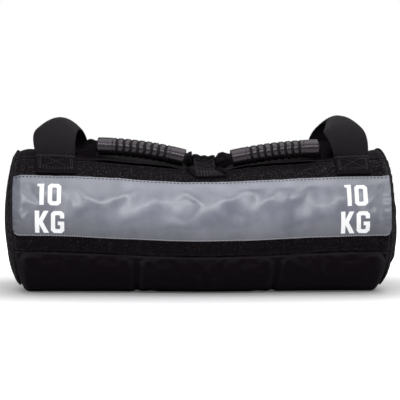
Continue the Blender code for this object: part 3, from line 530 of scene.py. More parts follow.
shares = np.concatenate([[0.0012, 0.005, 0.015], np.linspace(0.038, 0.80, 21),
                         np.linspace(0.825, 1.0, 13)])
around = np.linspace(0, 360, 133)[:-1]
gs, ga = crossed(shares, around)
ENDS = (("left", -1), ("right", 1))
for side, way in ENDS:
    centre = np.array([END_SEAM_X * way, 0, COVER_AXIS_HEIGHT - END_DOME_DROP])

    def crease_end(angle, share):
        turn = math.radians(180 - angle if way > 0 else angle)
        return np.array([-math.cos(turn), math.sin(turn)]) * COVER_RADIUS * share

    def end_points(lift):
        points = centre + (wall(END_SEAM_X * way, ga, lift) - centre) * gs[..., None]
        y, z = points[..., 1], points[..., 2]
        swell = 0.0011 * np.sin(y * 34 + 1.1 * way) * np.cos(z * 41 + 0.4)
        swell = swell + 0.0005 * np.sin(y * 88 - z * 63)
        for a0, s0, a1, s1 in END_CREASES:
            start = crease_end(a0, s0)
            run = crease_end(a1, s1) - start
            px, pz = y - start[0], z - centre[2] - start[1]
            t = (px * run[0] + pz * run[1]) / (run @ run)
            off = (px * run[1] - pz * run[0]) / math.hypot(*run)
            swell = swell + 0.0011 * hump(off, 0, 0.0032) * ease(0, 0.35, t) * ease(1, 0.6, t)
        pleat = END_RIM_PLEAT * np.sin(np.radians(ga) * 47 + 1.7 * np.sin(np.radians(ga) * 5))
        swell = swell * ease(1, 0.86, gs) + pleat * ease(0.80, 0.95, gs) * ease(1.0, 0.965, gs)
        out = SEAM_GAP + lift + END_DOME * (1 - gs**4) + swell - 0.0006 * hump(gs, 1, 0.02)
        points[..., 0] += np.maximum(out, SEAM_GAP + lift) * way
        return points

    turns = np.radians(np.append(around, around[0]))
    threads = np.stack([np.cos(turns), np.sin(turns)], -1)[None] * shares[:, None, None] * COVER_RADIUS
    panel = shell(f"{side}_end_cloth", end_points(CLOTH), end_points(0.0), threads, coarse_cloth,
                  closed=True)
    cut = 2 * (COVER_RADIUS + END_HEM)
    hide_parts(f"{side}_end_panel")
    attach(panel, "bag")


# The marking band: grey coated vinyl, about 80 mm wide, laid across the front from end seam to
# end seam and sewn down along both its edges. Being stiffer than the cloth it takes soft dents.
BAND_TOP = 38.2
BAND_BOTTOM = -11.5
BAND_REACH = 0.2495
BAND_CORNER = 0.0085
VINYL = 0.0008
BAND_SEAT = 0.0003
TOP_STITCH_INSET, BOTTOM_STITCH_INSET = 1.55, 0.62
BAND_DENTS = (
    ((-0.236, 30.0), (-0.212, 12.0), 0.0045, -0.0015), ((-0.243, 6.0), (-0.222, -8.0), 0.0035, 0.0017),
    ((-0.240, -2.0), (-0.226, 8.0), 0.0030, 0.0012), ((-0.175, 34.0), (-0.118, 2.0), 0.0090, 0.0017),
    ((-0.075, 36.0), (-0.135, 10.0), 0.0080, 0.0015), ((-0.030, 36.0), (-0.004, 14.0), 0.0075, 0.0020),
    ((0.060, 36.0), (0.018, 12.0), 0.0090, 0.0019), ((0.112, 37.0), (0.060, 6.0), 0.0080, 0.0017),
    ((0.150, 36.0), (0.112, 14.0), 0.0055, 0.0017), ((0.236, 30.0), (0.214, 8.0), 0.0045, 0.0012),
    ((0.150, 8.0), (0.200, -8.0), 0.0080, 0.0010), ((-0.060, 4.0), (0.010, -9.0), 0.0090, 0.0010),
    ((0.240, 2.0), (0.222, -6.0), 0.0030, 0.0012),
)


def corner_rise(distance, size):
    """How far a rounded corner of that size has drawn in, by the distance from the end."""
    d = np.clip(distance, 0, size)
    return size - np.sqrt(size**2 - (size - d) ** 2)


def band_low_edge(x):
    """The lower edge, which rounds up into the end seams."""
    rise = corner_rise(BAND_REACH - np.abs(x), BAND_CORNER)
    return BAND_BOTTOM + np.degrees(rise / COVER_RADIUS) + 0.10 * np.sin(x * 61)


def top_sway(x):
    """The upper edge isn't cut quite straight."""
    return 0.12 * np.sin(x * 47 + 1)


def band_relief(x, angle):
    """How far the vinyl stands off the cloth under it."""
    inside = np.radians(np.minimum(BAND_TOP - angle, angle - band_low_edge(x))) * COVER_RADIUS
    inside = np.minimum(inside, BAND_REACH - np.abs(x))
    free = ease(0.002, 0.016, inside)
    height = 0.00130 * (1 + waves(31, 13, 11, x, angle)) * free
    small = 0.35 + 0.65 * ease(0.15, 0.24, np.abs(x))
    height = height + 0.00020 * (1 + waves(32, 42, 30, x, angle)) * free * small
    for start, end, width, rise in BAND_DENTS:
        height = height + rise * fold(x, angle, start, end, width) * free
    tug = np.sin(2 * np.pi * x / 0.0042)
    return np.maximum(height, 0) - 0.00010 * (1 + tug) * hump(inside, 0.0019, 0.0012)


def band_place(x, angle, lift=0.0):
    return cover(x, angle, BAND_SEAT + VINYL + band_relief(x, angle) + lift)


vinyl, tree, shader = new_finish("grey_vinyl")
laid = wire(tree, "UVMap", uv_map="cloth")[0]
mottle = noise(tree, laid, 21.0, 4.0, 0.55)
slanted = {"Vector": laid, "Rotation": (0.0, 0.0, 0.7), "Scale": (1.0, 0.32, 1.0)}
streaked = wire(tree, "Mapping", slanted)[0]
# The streaky, mottled tone of the vinyl is painted cloudy reflection.
shade = span(tree, graded(tree, noise(tree, streaked, 48.0, 3.0), 0.4, mottle), 0.50, 0.86)
along_band, up_the_band, _ = wire(tree, "SeparateXYZ", {0: laid})
# Painted light: the band is lighter towards its top and darker towards its bottom, as light falls from
# above. It is also darker towards both ends.
darker_to_the_ends = span(tree, sums(tree, "ABSOLUTE", along_band), 0.09, 0.22, 1.06, 0.80)
painted_light_from_above = span(tree, up_the_band, -0.020, 0.012, 0.46, 1.08)
scuffs = wire(tree, "TexVoronoi", {"Vector": laid, "Scale": 95.0}, feature="DISTANCE_TO_EDGE")[0]
scuffed = times(tree, times(tree, span(tree, scuffs, 0.02, 0.0), shade), 0.10)
toned = mix(tree, shade, (0.104, 0.113, 0.150), (0.174, 0.182, 0.229))
marked = mix(tree, scuffed, toned, (0.34, 0.34, 0.37))
# The band's colour scaled by the painted light and by the darkening towards the ends.
painted_light_and_darker_ends = scaled(tree, marked, times(tree, painted_light_from_above, darker_to_the_ends))
grain = wire(tree, "TexVoronoi", {"Vector": laid, "Scale": 1500.0})["Distance"]
dress(tree, shader, painted_light_and_darker_ends, span(tree, mottle, 0.3, 0.7, 0.30, 0.42), grain, 0.10, 0.0002,
      {"Specular IOR Level": 1.0, "Coat Weight": 0.30, "Coat Roughness": 0.20})

gx, gv = crossed(np.linspace(-BAND_REACH, BAND_REACH, 260), np.linspace(0, 1, 46))
ga = band_low_edge(gx) * (1 - gv) + (BAND_TOP + top_sway(gx)) * gv
band = shell("grey_band", band_place(gx, ga), cover(gx, ga, BAND_SEAT), flat_places(gx, ga), vinyl)
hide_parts("marking_band")
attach(band, "bag")


def thread_finish(name, colour):
    """Finish of sewing thread: twisted filaments with a slight shine."""
    finish, tree, shader = new_finish(name)
    fibres = noise(tree, object_place(tree), 1800.0)
    toned = mix(tree, fibres, tuple(0.6 * c for c in colour), colour)
    dress(tree, shader, toned, 0.55, fibres, 0.4, 0.0002)
    return finish


def run_along(points):
    """How far along a line each of its points is."""
    return np.concatenate([[0], np.cumsum(np.linalg.norm(np.diff(points, axis=0), axis=1))])


def tube_faces(first, rings, sides):
    """Faces of a closed tube whose points start at the number first."""
    faces = []
    for ring in range(rings - 1):
        for j in range(sides):
            a, b = first + ring * sides + j, first + ring * sides + (j + 1) % sides
            faces.append((a, b, b + sides, a + sides))
    last = first + (rings - 1) * sides
    return faces + [tuple(range(first + sides - 1, first - 1, -1)), tuple(range(last, last + sides))]


# Along a stitch, the height and the thickness of its strand, as shares of its width
STITCH_SHAPE = ((0.0, -0.3, 0.45), (0.25, 0.35, 1.0), (0.75, 0.35, 1.0), (1.0, -0.3, 0.45))
STITCH_GAP = 0.36


def sew(name, lines, pitch, width, finish):
    """Rows of stitches, each stitch a short arched strand that dives in at its ends. A line is
    its points and the directions off the cloth at them."""
    points, faces = [], []
    for places, outs in lines:
        run = run_along(places)
        count = max(int(run[-1] / pitch), 1)
        spacing = run[-1] / count

        def at(distance, of):
            return np.array([np.interp(distance, run, of[:, i]) for i in range(3)])

        for i in range(count):
            faces += tube_faces(len(points), len(STITCH_SHAPE), 6)
            for share, rise, size in STITCH_SHAPE:
                distance = (i + STITCH_GAP / 2 + share * (1 - STITCH_GAP)) * spacing
                spot, out = at(distance, places), at(distance, outs)
                along = at(distance + spacing / 10, places) - at(distance - spacing / 10, places)
                along /= max(np.linalg.norm(along), 1e-9)
                out = unit(out - along * (out @ along))
                across = np.cross(along, out)
                for turn in np.arange(6) * math.pi / 3:
                    points.append(spot + out * (rise * width + size * width / 2 * math.sin(turn))
                                  + across * (size * width / 2 * math.cos(turn)))
    return solid(name, points, faces, finish, out=False)


def seam_line(xs, angle, lift=0.0):
    """A line along the cover, as sew takes it."""
    return cover(xs, angle, lift), outward(xs, angle)


black_thread = thread_finish("black_thread", (0.009, 0.008, 0.009))
grey_thread = thread_finish("grey_thread", (0.50, 0.50, 0.54))
BAND_PITCH = 0.0050
BAND_THREAD = 0.0011
SHOULDER_PITCH, SHOULDER_THREAD = 0.0038, 0.0006
xs = np.linspace(-BAND_REACH + 0.002, BAND_REACH - 0.002, 400)
for name, pitch, angles, finish in (
    ("band_top_stitches", BAND_PITCH, BAND_TOP - TOP_STITCH_INSET + top_sway(xs), black_thread),
    ("band_bottom_stitches", 0.68 * BAND_PITCH, band_low_edge(xs) + BOTTOM_STITCH_INSET, grey_thread),
):
    row = sew(name, [(band_place(xs, angles), outward(xs, angles))], pitch, BAND_THREAD, finish)
    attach(row, "bag")
row = sew("shoulder_stitches", [seam_line(xs, SHOULDER_SEAM_ANGLE - 2.4)], SHOULDER_PITCH,
          SHOULDER_THREAD, black_thread)
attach(row, "bag")

# The weight mark at each end of the band, a plain figure over plain letters: white ink printed
# in block shapes with cut corners, 30 mm high.
INK = 0.00012
MARK_HEIGHT = 0.0300
MARK_MESH = 0.0022
MARK_ROWS = {"upper": 12.5, "lower": -9.0}
ONE = ((3.0, 0), (8.7, 0), (8.7, 30), (0, 30), (0, 26.8), (3.0, 25.6))
KAY = ((0, 0), (5.8, 0), (5.8, 11.4), (11.6, 0), (18.2, 0), (10.2, 15.2), (17.9, 30), (11.4, 30),
       (5.8, 19.0), (5.8, 30), (0, 30))
GEE = ((3.6, 0), (13.9, 0), (17.5, 3.6), (17.5, 16), (9.0, 16), (9.0, 11.0), (11.9, 11.0), (11.9, 6.6),
       (10.9, 5.6), (6.6, 5.6), (5.6, 6.6), (5.6, 23.4), (6.6, 24.4), (10.9, 24.4), (11.9, 23.4),
       (11.9, 20.2), (17.5, 20.2), (17.5, 26.4), (13.9, 30), (3.6, 30), (0, 26.4), (0, 3.6))
NOUGHT = ((3.6, 0), (13.6, 0), (17.2, 3.6), (17.2, 26.4), (13.6, 30), (3.6, 30), (0, 26.4), (0, 3.6))
NOUGHT_HOLE = ((6.6, 5.6), (10.6, 5.6), (11.6, 6.6), (11.6, 23.4), (10.6, 24.4), (6.6, 24.4), (5.6, 23.4),
               (5.6, 6.6))
MARKS = {
    "left": ((-0.2172, "upper", ONE), (-0.2036, "upper", NOUGHT), (-0.2200, "lower", KAY),
             (-0.1992, "lower", GEE)),
    "right": ((0.1876, "upper", ONE), (0.2008, "upper", NOUGHT), (0.1816, "lower", KAY),
              (0.2024, "lower", GEE)),
}

ink, tree, shader = new_finish("white_ink")
thin = noise(tree, object_place(tree), 260.0, 4.0)
worn_away = times(tree, span(tree, thin, 0.62, 0.78), 0.25)
printed = mix(tree, worn_away, (0.88, 0.88, 0.89), (0.55, 0.56, 0.60))
dress(tree, shader, printed, 0.5, thin, 0.08, 0.0002, {"Specular IOR Level": 0.3})

for side, letters in MARKS.items():
    shape = bmesh.new()
    for left, row, outline in letters:
        at = {}

        def corner(u, v):
            if (u, v) not in at:
                at[u, v] = shape.verts.new((left + u / 1000, MARK_ROWS[row], v / 1000))
            return at[u, v]

        if outline is NOUGHT:
            for i in range(8):
                j = (i + 1) % 8
                part = (NOUGHT[i], NOUGHT[j], NOUGHT_HOLE[j], NOUGHT_HOLE[i])
                shape.faces.new([corner(*p) for p in part])
        else:
            shape.faces.new([corner(*p) for p in outline])
    shape.normal_update()
    bmesh.ops.triangulate(shape, faces=shape.faces[:])
    low, high = min(v.co.x for v in shape.verts), max(v.co.x for v in shape.verts)
    cuts = [((x, 0, 0), (1, 0, 0)) for x in np.arange(low, high, MARK_MESH)]
    cuts += [((0, 0, z), (0, 0, 1)) for z in np.arange(0.0, MARK_HEIGHT, MARK_MESH)]
    for place, direction in cuts:
        bmesh.ops.bisect_plane(shape, geom=shape.verts[:] + shape.edges[:] + shape.faces[:],
                               plane_co=place, plane_no=direction, dist=1e-7)
    flat = np.array([v.co for v in shape.verts])
    on_band = band_place(flat[:, 0], flat[:, 1] + np.degrees(flat[:, 2] / (COVER_RADIUS + 0.005)), INK)
    for vertex, point in zip(shape.verts, on_band, strict=True):
        vertex.co = point
    mesh = bpy.data.meshes.new(f"{side}_weight_mark")
    shape.to_mesh(mesh)
    shape.free()
    mesh.shade_smooth()
    mesh.materials.append(ink)
    mark = stand(f"{side}_weight_mark", mesh)
    if mesh.polygons[0].normal.y > 0:
        mesh.flip_normals()
    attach(mark, "bag")


# The pad under the bag: two layers of plain close-woven cloth, stuffed and sewn across twice,
# which makes three cushions. Its upper corners are rounded, and its weight presses it flat.
PAD_SEAT = 0.0006
PAD_CROWN = 0.0090
PAD_EDGE = 0.0025
PAD_CHANNEL = 0.0060
PAD_ROUNDING = 0.011
PAD_REACH = 0.247
PAD_CHANNELS_X = (-0.088, 0.098)
PAD_CORNER = 0.015
PAD_SQUASH = 0.93
PAD_STEP = 0.0050
PAD_PRESSURE = 2.6
PAD_FRAMES = 20
PAD_MOST_MOVED = 0.0030

pad_cloth = woven("pad_cloth", (0.0036, 0.0023, 0.0036), (0.0058, 0.0042, 0.0058), 0.74, 0.00045, 0.0010,
                  0.18, 0.25, gloss=0.04)


def stuffed(distance):
    """Roundness of the stuffing, from none at a seam to full."""
    t = np.clip(distance / PAD_ROUNDING, 0, 1)
    return np.sqrt(1 - (1 - t) ** 2)


def places_of(mesh):
    return np.array([v.co for v in mesh.vertices])


def set_on_floor(mesh, places):
    """Give a mesh these places, none of them under the floor."""
    places[:, 2] = np.maximum(places[:, 2], 0)
    mesh.vertices.foreach_set("co", places.ravel())


seams = (-PAD_REACH, *PAD_CHANNELS_X, PAD_REACH)
columns = [np.linspace(a, b, round((b - a) / PAD_STEP) + 1)[:-1] for a, b in zip(seams, seams[1:])]
xs = np.concatenate([*columns, [PAD_REACH]])
rows = np.concatenate([[0, 0.010, 0.022], np.linspace(0.04, 0.96, 43), [0.978, 0.990, 1]])
gx, gv = crossed(xs, rows)
to_end = PAD_REACH - np.abs(gx)
drawn_in = np.degrees(corner_rise(to_end, PAD_CORNER) / COVER_RADIUS)
edge = 180 + PAD_EDGE_ANGLE + 0.25
ga = (edge + drawn_in) * (1 - gv) + (540 - edge - drawn_in) * gv
across = np.radians(np.minimum(ga - edge, 540 - edge - ga)) * COVER_RADIUS
inside = np.minimum(np.maximum(to_end, 0), np.maximum(across - np.radians(drawn_in) * COVER_RADIUS, 0))
to_channel = np.min([np.abs(gx - c) for c in PAD_CHANNELS_X], axis=0)
full = PAD_CHANNEL + (PAD_CROWN - PAD_CHANNEL) * stuffed(to_channel)
thick = PAD_EDGE + (full - PAD_EDGE) * stuffed(inside)
outer, inner = wall(gx, ga, PAD_SEAT + PAD_SQUASH * thick), wall(gx, ga, PAD_SEAT)
outer[..., 2] = np.maximum(outer[..., 2], 0)
pad = shell("quilted_base_pad", outer, inner, flat_places(gx, ga), pad_cloth)
start = places_of(pad.data)
held = pad.vertex_groups.new(name="sewn")
sewn = (inside < 0.0015) | (to_channel < 0.001)
held.add([int(i) for i in np.flatnonzero(sewn.ravel())], 1.0, "REPLACE")
held.add(list(range(gx.size, 2 * gx.size)), 1.0, "REPLACE")
puff = pad.modifiers.new("puff", "CLOTH")
cloth = puff.settings
cloth.vertex_group_mass = "sewn"
cloth.use_pressure = True
cloth.uniform_pressure_force = PAD_PRESSURE
cloth.quality = 6
cloth.mass = 0.25
cloth.tension_stiffness = cloth.compression_stiffness = 18
cloth.shrink_min = -0.012
cloth.effector_weights.gravity = 0
puff.collision_settings.use_self_collision = False
puff.point_cache.frame_start, puff.point_cache.frame_end = 1, PAD_FRAMES
for frame_number in range(1, PAD_FRAMES + 1):
    bpy.context.scene.frame_set(frame_number)
moved = places_of(pad.evaluated_get(bpy.context.evaluated_depsgraph_get()).data) - start
pad.modifiers.remove(puff)
pad.vertex_groups.clear()
bpy.context.scene.frame_set(1)
length = np.linalg.norm(moved, axis=1, keepdims=True)
moved *= np.minimum(1, PAD_MOST_MOVED / np.maximum(length, 1e-9))
start = start + moved
set_on_floor(pad.data, start)
smooth = pad.modifiers.new("smooth", "SUBSURF")
smooth.levels = smooth.render_levels = 1
with bpy.context.temp_override(object=pad):
    bpy.ops.object.modifier_apply(modifier="smooth")
set_on_floor(pad.data, places_of(pad.data))
pad.data.update()
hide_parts("base_pad")
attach(pad, "bag")


# The two end loops: 52 mm webbing stood over each end of the bag as a hand hold. Both feet lie
# on the shoulders under a turned hem and are sewn down with a boxed cross of black thread.
WEB_WIDTH = 0.052
WEB = 0.0024
STRAP_LIFT = 0.0018
LOOP_FOOT_LOW, LOOP_FOOT_TOP = 40.0, 65.0
HEM_ANGLE = 43.4
HEM = 0.0009
BOX_INSET = 0.0042
BOX_LOW, BOX_TOP = 44.6, 62.0
BOX_HEM = 1.5
BOX_INNER = 0.0022
LOOP_PITCH, LOOP_THREAD = 0.0040, 0.0011
SEWN_BELOW = 0.1838
WEB_SHARES = np.concatenate([[-1, -0.985, -0.955], np.linspace(-0.91, 0.91, 23), [0.955, 0.985, 1]])

# Each loop's place along the bag, how its middle lies: cupped, skewed and how it rounds, how its
# front foot is set, and how its arch bulges and twists
LOOPS = {
    "left": {"station": -0.196, "cup": 0.016, "inward": 0.012, "power": 2, "bulge": -0.0072,
             "set": (0.0018, -0.0024), "curl": 0.0, "round": 2.0, "twist": 0.0, "apex": 0.2394},
    "right": {"station": 0.200, "cup": 0.0115, "inward": -0.020, "power": 1, "bulge": 0.0034,
              "set": (0.0006, 0.0028), "curl": 0.0050, "round": 2.6, "twist": 0.015, "apex": 0.2425},
}

ribs, given, gives = group("webbing_ribs", {"Rib": 0.0017, "Pick": 0.0013}, ("Height", "Fuzz"))
laid = wire(ribs, "UVMap", uv_map="cloth")[0]
split = wire(ribs, "SeparateXYZ", {0: laid})
course = sums(ribs, "DIVIDE", split[0], given["Rib"])
crown = sums(ribs, "ABSOLUTE", sums(ribs, "SINE", times(ribs, course, math.pi)))
shifted = times(ribs, sums(ribs, "FLOOR", course), 0.5)
picked = sums(ribs, "ADD", sums(ribs, "DIVIDE", split[1], given["Pick"]), shifted)
turned = sums(ribs, "SINE", times(ribs, picked, 2 * math.pi))
strands = noise(ribs, laid, 1500.0)
knit = graded(ribs, turned, 0.28, crown)
feed(ribs, gives, {"Height": graded(ribs, strands, 0.35, knit), "Fuzz": strands})


def webbing_finish(name, dark, light, roughness, gloss):
    """Finish of polypropylene webbing: raised ribs with slightly shiny strands."""
    finish, tree, shader = new_finish(name)
    height, fuzz = wire(tree, "Group", node_tree=ribs)
    used = wire(tree, "Group", {"Patch Size": 0.03}, node_tree=wear)
    base = mix(tree, span(tree, height, 0.2, 1.3), dark, light)
    rubbed = mix(tree, times(tree, used["Rubbed"], 0.5), base, tuple(2.2 * c for c in light))
    rough = graded(tree, fuzz, 0.2, roughness - 0.1)
    dress(tree, shader, rubbed, rough, height, 0.6, 0.0004,
          {"Specular IOR Level": gloss, "Specular Tint": SHINE_TINT})
    return finish


black_webbing = webbing_finish("black_webbing", (0.0025, 0.0018, 0.0026), (0.0112, 0.0094, 0.0114),
                               0.55, 0.14)
# Painted shade: a darker, duller copy of the webbing, for the sewn feet and tab, the handle ends and the
# pleats.
shaded_webbing = webbing_finish("shaded_webbing", (0.0012, 0.0007, 0.0012), (0.0064, 0.0050, 0.0065),
                              0.60, 0.05)
webbing_thread = thread_finish("webbing_thread", (0.0135, 0.0112, 0.0139))


def through(rows, steps):
    """Rows of points on a smooth curve through the given rows, steps of them to each."""
    rows = np.asarray(rows, float)
    ends = np.concatenate([2 * rows[:1] - rows[1:2], rows, 2 * rows[-1:] - rows[-2:-1]])
    curve = []
    for i in range(len(rows) - 1):
        a, b, c, d = ends[i:i + 4]
        for t in np.arange(steps) / steps:
            curve.append((2 * b + (c - a) * t + (2 * a - 5 * b + 4 * c - d) * t**2
                          + (3 * b - a - 3 * c + d) * t**3) / 2)
    return np.array([*curve, rows[-1]])


def facing(rows):
    """Directions square off a grid of points."""
    return unit(np.cross(np.gradient(rows, axis=1), np.gradient(rows, axis=0)))


def strap(name, rows, shares, width, finish, more=0.0):
    """Webbing with rounded edges whose middle surface is the grid of points. more adds to the
    height of its upper face."""
    face = facing(rows)
    if face[..., 2].mean() < 0:
        face = -face
    edge = np.sqrt(1 - 0.9 * np.clip((np.abs(shares) - 0.955) / 0.045, 0, 1) ** 2)[None, :, None]
    run = run_along(rows[:, len(shares) // 2])
    threads = np.stack(np.broadcast_arrays(shares[None] * width / 2, run[:, None]), -1)
    upper = rows + face * edge * (WEB / 2 + np.broadcast_to(more, rows.shape[:2])[..., None])
    return shell(name, upper, rows - face * edge * WEB / 2, threads, finish)


def boxed_cross(place, face, left, right):
    """Lines of a boxed cross between the edges left and right of each angle, as sew takes them."""
    lines = []
    low, top, hem = BOX_LOW, BOX_TOP, BOX_LOW + BOX_HEM
    inner_left, inner_right = (lambda a: left(a) + BOX_INNER), (lambda a: right(a) - BOX_INNER)
    for from_edge, a0, to_edge, a1 in (
            (left, low, right, low), (left, top, right, top), (left, low, left, top),
            (right, low, right, top), (left, low, right, top), (right, low, left, top),
            (inner_left, low, inner_left, top), (inner_right, low, inner_right, top),
            (left, hem, right, hem)):
        share = np.linspace(0, 1, 40)
        x0, x1 = from_edge(a0), to_edge(a1)
        x, a = x0 + (x1 - x0) * share, a0 + (a1 - a0) * share
        lines.append((place(x, a), face(x, a)))
    return lines


for side, loop_set in LOOPS.items():
    station, inward, (low_set, top_set) = loop_set["station"], loop_set["inward"], loop_set["set"]
    web = WEB_SHARES[None]
    xs = station + WEB_WIDTH / 2 * WEB_SHARES
    sewn = np.linspace(LOOP_FOOT_LOW, LOOP_FOOT_TOP, 36)
    askew = low_set + (top_set - low_set) * (sewn - LOOP_FOOT_LOW) / (LOOP_FOOT_TOP - LOOP_FOOT_LOW)
    curl = loop_set["curl"] * (1 - WEB_SHARES) / 2
    front = cover(xs[None] + askew[:, None] + curl[None], sewn[:, None], STRAP_LIFT)
    back = cover(xs[None] + inward, 180 - sewn[::-1, None], STRAP_LIFT)
    turn = np.linspace(0, math.pi, 70)[1:-1, None]
    over = (1 - np.cos(turn)) / 2
    near, far = front[-1][None], back[0][None]
    arch = near * (1 - over[..., None]) + far * over[..., None]
    arch[..., 0] = near[..., 0] + (far[..., 0] - near[..., 0]) * over ** loop_set["power"]
    crest = loop_set["apex"] - loop_set["cup"] * np.abs(web) ** loop_set["round"]
    arch[..., 2] += (crest - arch[..., 2]) * np.sin(turn)
    pushed = loop_set["bulge"] * ((1 + (web if side == "right" else -web)) / 2) ** 1.5
    arch[..., 0] += pushed * np.sin(turn) * (1 - 0.62 * np.sin(turn) ** 4)
    arch[..., 1] += 0.0009 * np.sin(turn) * np.sin(web * 3.4 + turn * 2)
    twist = loop_set["twist"] * ((1 - web) / 2) ** 1.2
    shifted = twist * np.interp(turn, (0, 0.84, 1.60, 2.3, math.pi), (0, -0.60, 1.0, 0.35, 0))
    arch += np.stack([shifted, 0.8 * shifted, 0.35 * np.maximum(shifted, 0)], -1)
    hem = HEM * ease(HEM_ANGLE + 0.35, HEM_ANGLE - 0.15, sewn)
    dips = 0.00025 * hump(np.abs(WEB_SHARES), 1 - 2 * BOX_INSET / WEB_WIDTH, 0.05)
    held = ease(BOX_TOP + 1, BOX_TOP - 1, sewn)
    foot = hem[:, None] - dips[None] * held[:, None] - 0.00025 * hump(sewn, BOX_TOP, 0.7)[:, None]
    more = np.concatenate([foot, np.zeros_like(arch[..., 0]), foot[::-1]])
    rows = np.concatenate([front, arch, back])
    loop = strap(f"{side}_end_loop", rows, WEB_SHARES, WEB_WIDTH, black_webbing, more)
    # The sewn feet, pulled down by their stitching, get a rougher copy of the webbing, painted darker as
    # shade in the stitched dips
    loop.data.materials.append(shaded_webbing)
    for face in loop.data.polygons:
        if face.center.z < SEWN_BELOW:
            face.material_index = 1
    parts = ("arch", "front_leg", "back_leg", "front_foot", "back_foot")
    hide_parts(*[f"{side}_loop_{part}" for part in parts])
    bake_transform(loop)

    half = WEB_WIDTH / 2 - BOX_INSET
    for part, shift, mirror in (("front", 0.0, 0.0), ("back", inward, 180.0)):
        def set_over(a):
            share = (a - LOOP_FOOT_LOW) / (LOOP_FOOT_TOP - LOOP_FOOT_LOW)
            return station + shift + (0 if mirror else low_set + (top_set - low_set) * share)

        bent = 0 if mirror else loop_set["curl"]
        lines = boxed_cross(lambda x, a: cover(x, np.abs(mirror - a), STRAP_LIFT + WEB / 2),
                            lambda x, a: outward(x, np.abs(mirror - a)),
                            lambda a: set_over(a) + bent - half, lambda a: set_over(a) + half)
        row = sew(f"{side}_loop_{part}_stitches", lines, LOOP_PITCH, LOOP_THREAD, webbing_thread)
        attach(row, "bag")


# The carry handles: one strap of webbing along the top, sewn flat inside each end loop, then
# gathered into a round cord through two grips and bunched up under the tab at the middle.
CORE_RADIUS = 0.0078
GATHERED_RADIUS = CORE_RADIUS * 0.985
CORE_REACH = 0.0015
GRIP_LENGTH = 0.1198
GRIP_BOWS = {"left": 0.0037, "right": 0.0030}
GRIP_LINES = {"left": ((-0.0235, -0.036, 0.1836), (-0.98853, 0.06912, 0.13416)),
              "right": ((0.0412, -0.039, 0.1831), (0.99205, 0.0, 0.12585))}
TAB_LEFT, TAB_WAIST, TAB_FOOT = -0.0115, 0.031, 0.043
CORD_Y = -0.012
CORD_HALF_WIDTH, CORD_HALF_HEIGHT = 0.0085, 0.0075
CORD_CLEAR = 0.0006
JOIN_GAP = 0.0003
BUNCH_HALF_HEIGHT = 0.0105
FLARE_LENGTH = 0.012
FOOT_LENGTH = 0.034
FOOT_HALF_WIDTH = 0.024
FOOT_Y = -0.006
FOOT_PITCH, FOOT_THREAD = 0.0036, 0.0008
AROUND = np.linspace(0, 2 * math.pi, 97)[:-1]
UPWARD = np.array([0.0, 0, 1])

TABLE_X = np.linspace(-COVER_REACH, COVER_REACH, 334)
TABLE_Y = np.linspace(-0.084, 0.084, 169)
TABLE = np.array([np.interp(TABLE_Y, line[:, 1], line[:, 2])
                  for line in cover(TABLE_X[:, None], np.linspace(22, 158, 205)[None])])


def top_of(x, y):
    """Height of the top of the bag over the places (x, y) of the floor."""
    x, y = np.broadcast_arrays(np.asarray(x, float), np.asarray(y, float))
    i = np.clip((x - TABLE_X[0]) / (TABLE_X[1] - TABLE_X[0]), 0, len(TABLE_X) - 1.001)
    j = np.clip((y - TABLE_Y[0]) / (TABLE_Y[1] - TABLE_Y[0]), 0, len(TABLE_Y) - 1.001)
    return between(TABLE, i, j)


def between(grid, i, j):
    """What a grid holds at places between its points."""
    i0, j0 = np.minimum(i.astype(int), len(grid) - 2), j.astype(int)
    s, t = i - i0, j - j0
    if grid.ndim > 2:
        s, t = s[:, None], t[:, None]
    near = grid[i0, j0] * (1 - t) + grid[i0, j0 + 1] * t
    far = grid[i0 + 1, j0] * (1 - t) + grid[i0 + 1, j0 + 1] * t
    return near * (1 - s) + far * s


def grip_line(side, distance):
    """Middle of a grip at a distance from its inner end, and its sideways and upward directions."""
    inner, along = (np.array(v) for v in GRIP_LINES[side])
    up = unit(UPWARD - along * along[2])
    share = distance / GRIP_LENGTH
    middle = inner + along * distance + up * 4 * GRIP_BOWS[side] * share * (1 - share)
    climb = 4 * GRIP_BOWS[side] * (1 - 2 * share) / GRIP_LENGTH
    return middle, np.cross(up, along), unit(up - along * climb)


def gathered(centre, side, up, half_width=GATHERED_RADIUS, half_height=GATHERED_RADIUS, depth=0.06,
             phase=0.0):
    """Section of gathered webbing: an oval with soft pleats."""
    folds = np.sin(5 * AROUND + phase) + 0.45 * np.sin(11 * AROUND + 2.1 * phase + 1)
    swell = 1 + depth * folds / 1.45
    return (np.asarray(centre)[None] - np.outer(half_width * np.cos(AROUND) * swell, side)
            + np.outer(half_height * np.sin(AROUND) * swell, up))


def loft(name, rings, finish, round_metres=0.10):
    """Solid piece through rings of points, closed at both ends."""
    rings = np.asarray(rings)
    count, sides = rings.shape[:2]
    index = np.arange(count * sides).reshape(count, sides)
    beside = np.roll(index, -1, axis=1)
    faces = np.stack([index[:-1], beside[:-1], beside[1:], index[1:]], -1).reshape(-1, 4).tolist()
    faces += [index[0].tolist(), index[-1][::-1].tolist()]
    run = run_along(rings.mean(1))
    places = []
    for i in range(count - 1):
        for j in range(sides):
            a, b = j / sides * round_metres, (j + 1) / sides * round_metres
            places += [a, run[i], b, run[i], b, run[i + 1], a, run[i + 1]]
    for i, order in ((0, range(sides)), (count - 1, range(sides - 1, -1, -1))):
        for j in order:
            places += [j / sides * round_metres, run[i]]
    return solid(name, rings.reshape(-1, 3), faces, finish, 55, places)


def cord_middle(x):
    return np.array([x, CORD_Y, top_of(x, CORD_Y) + CORD_CLEAR + CORD_HALF_HEIGHT])


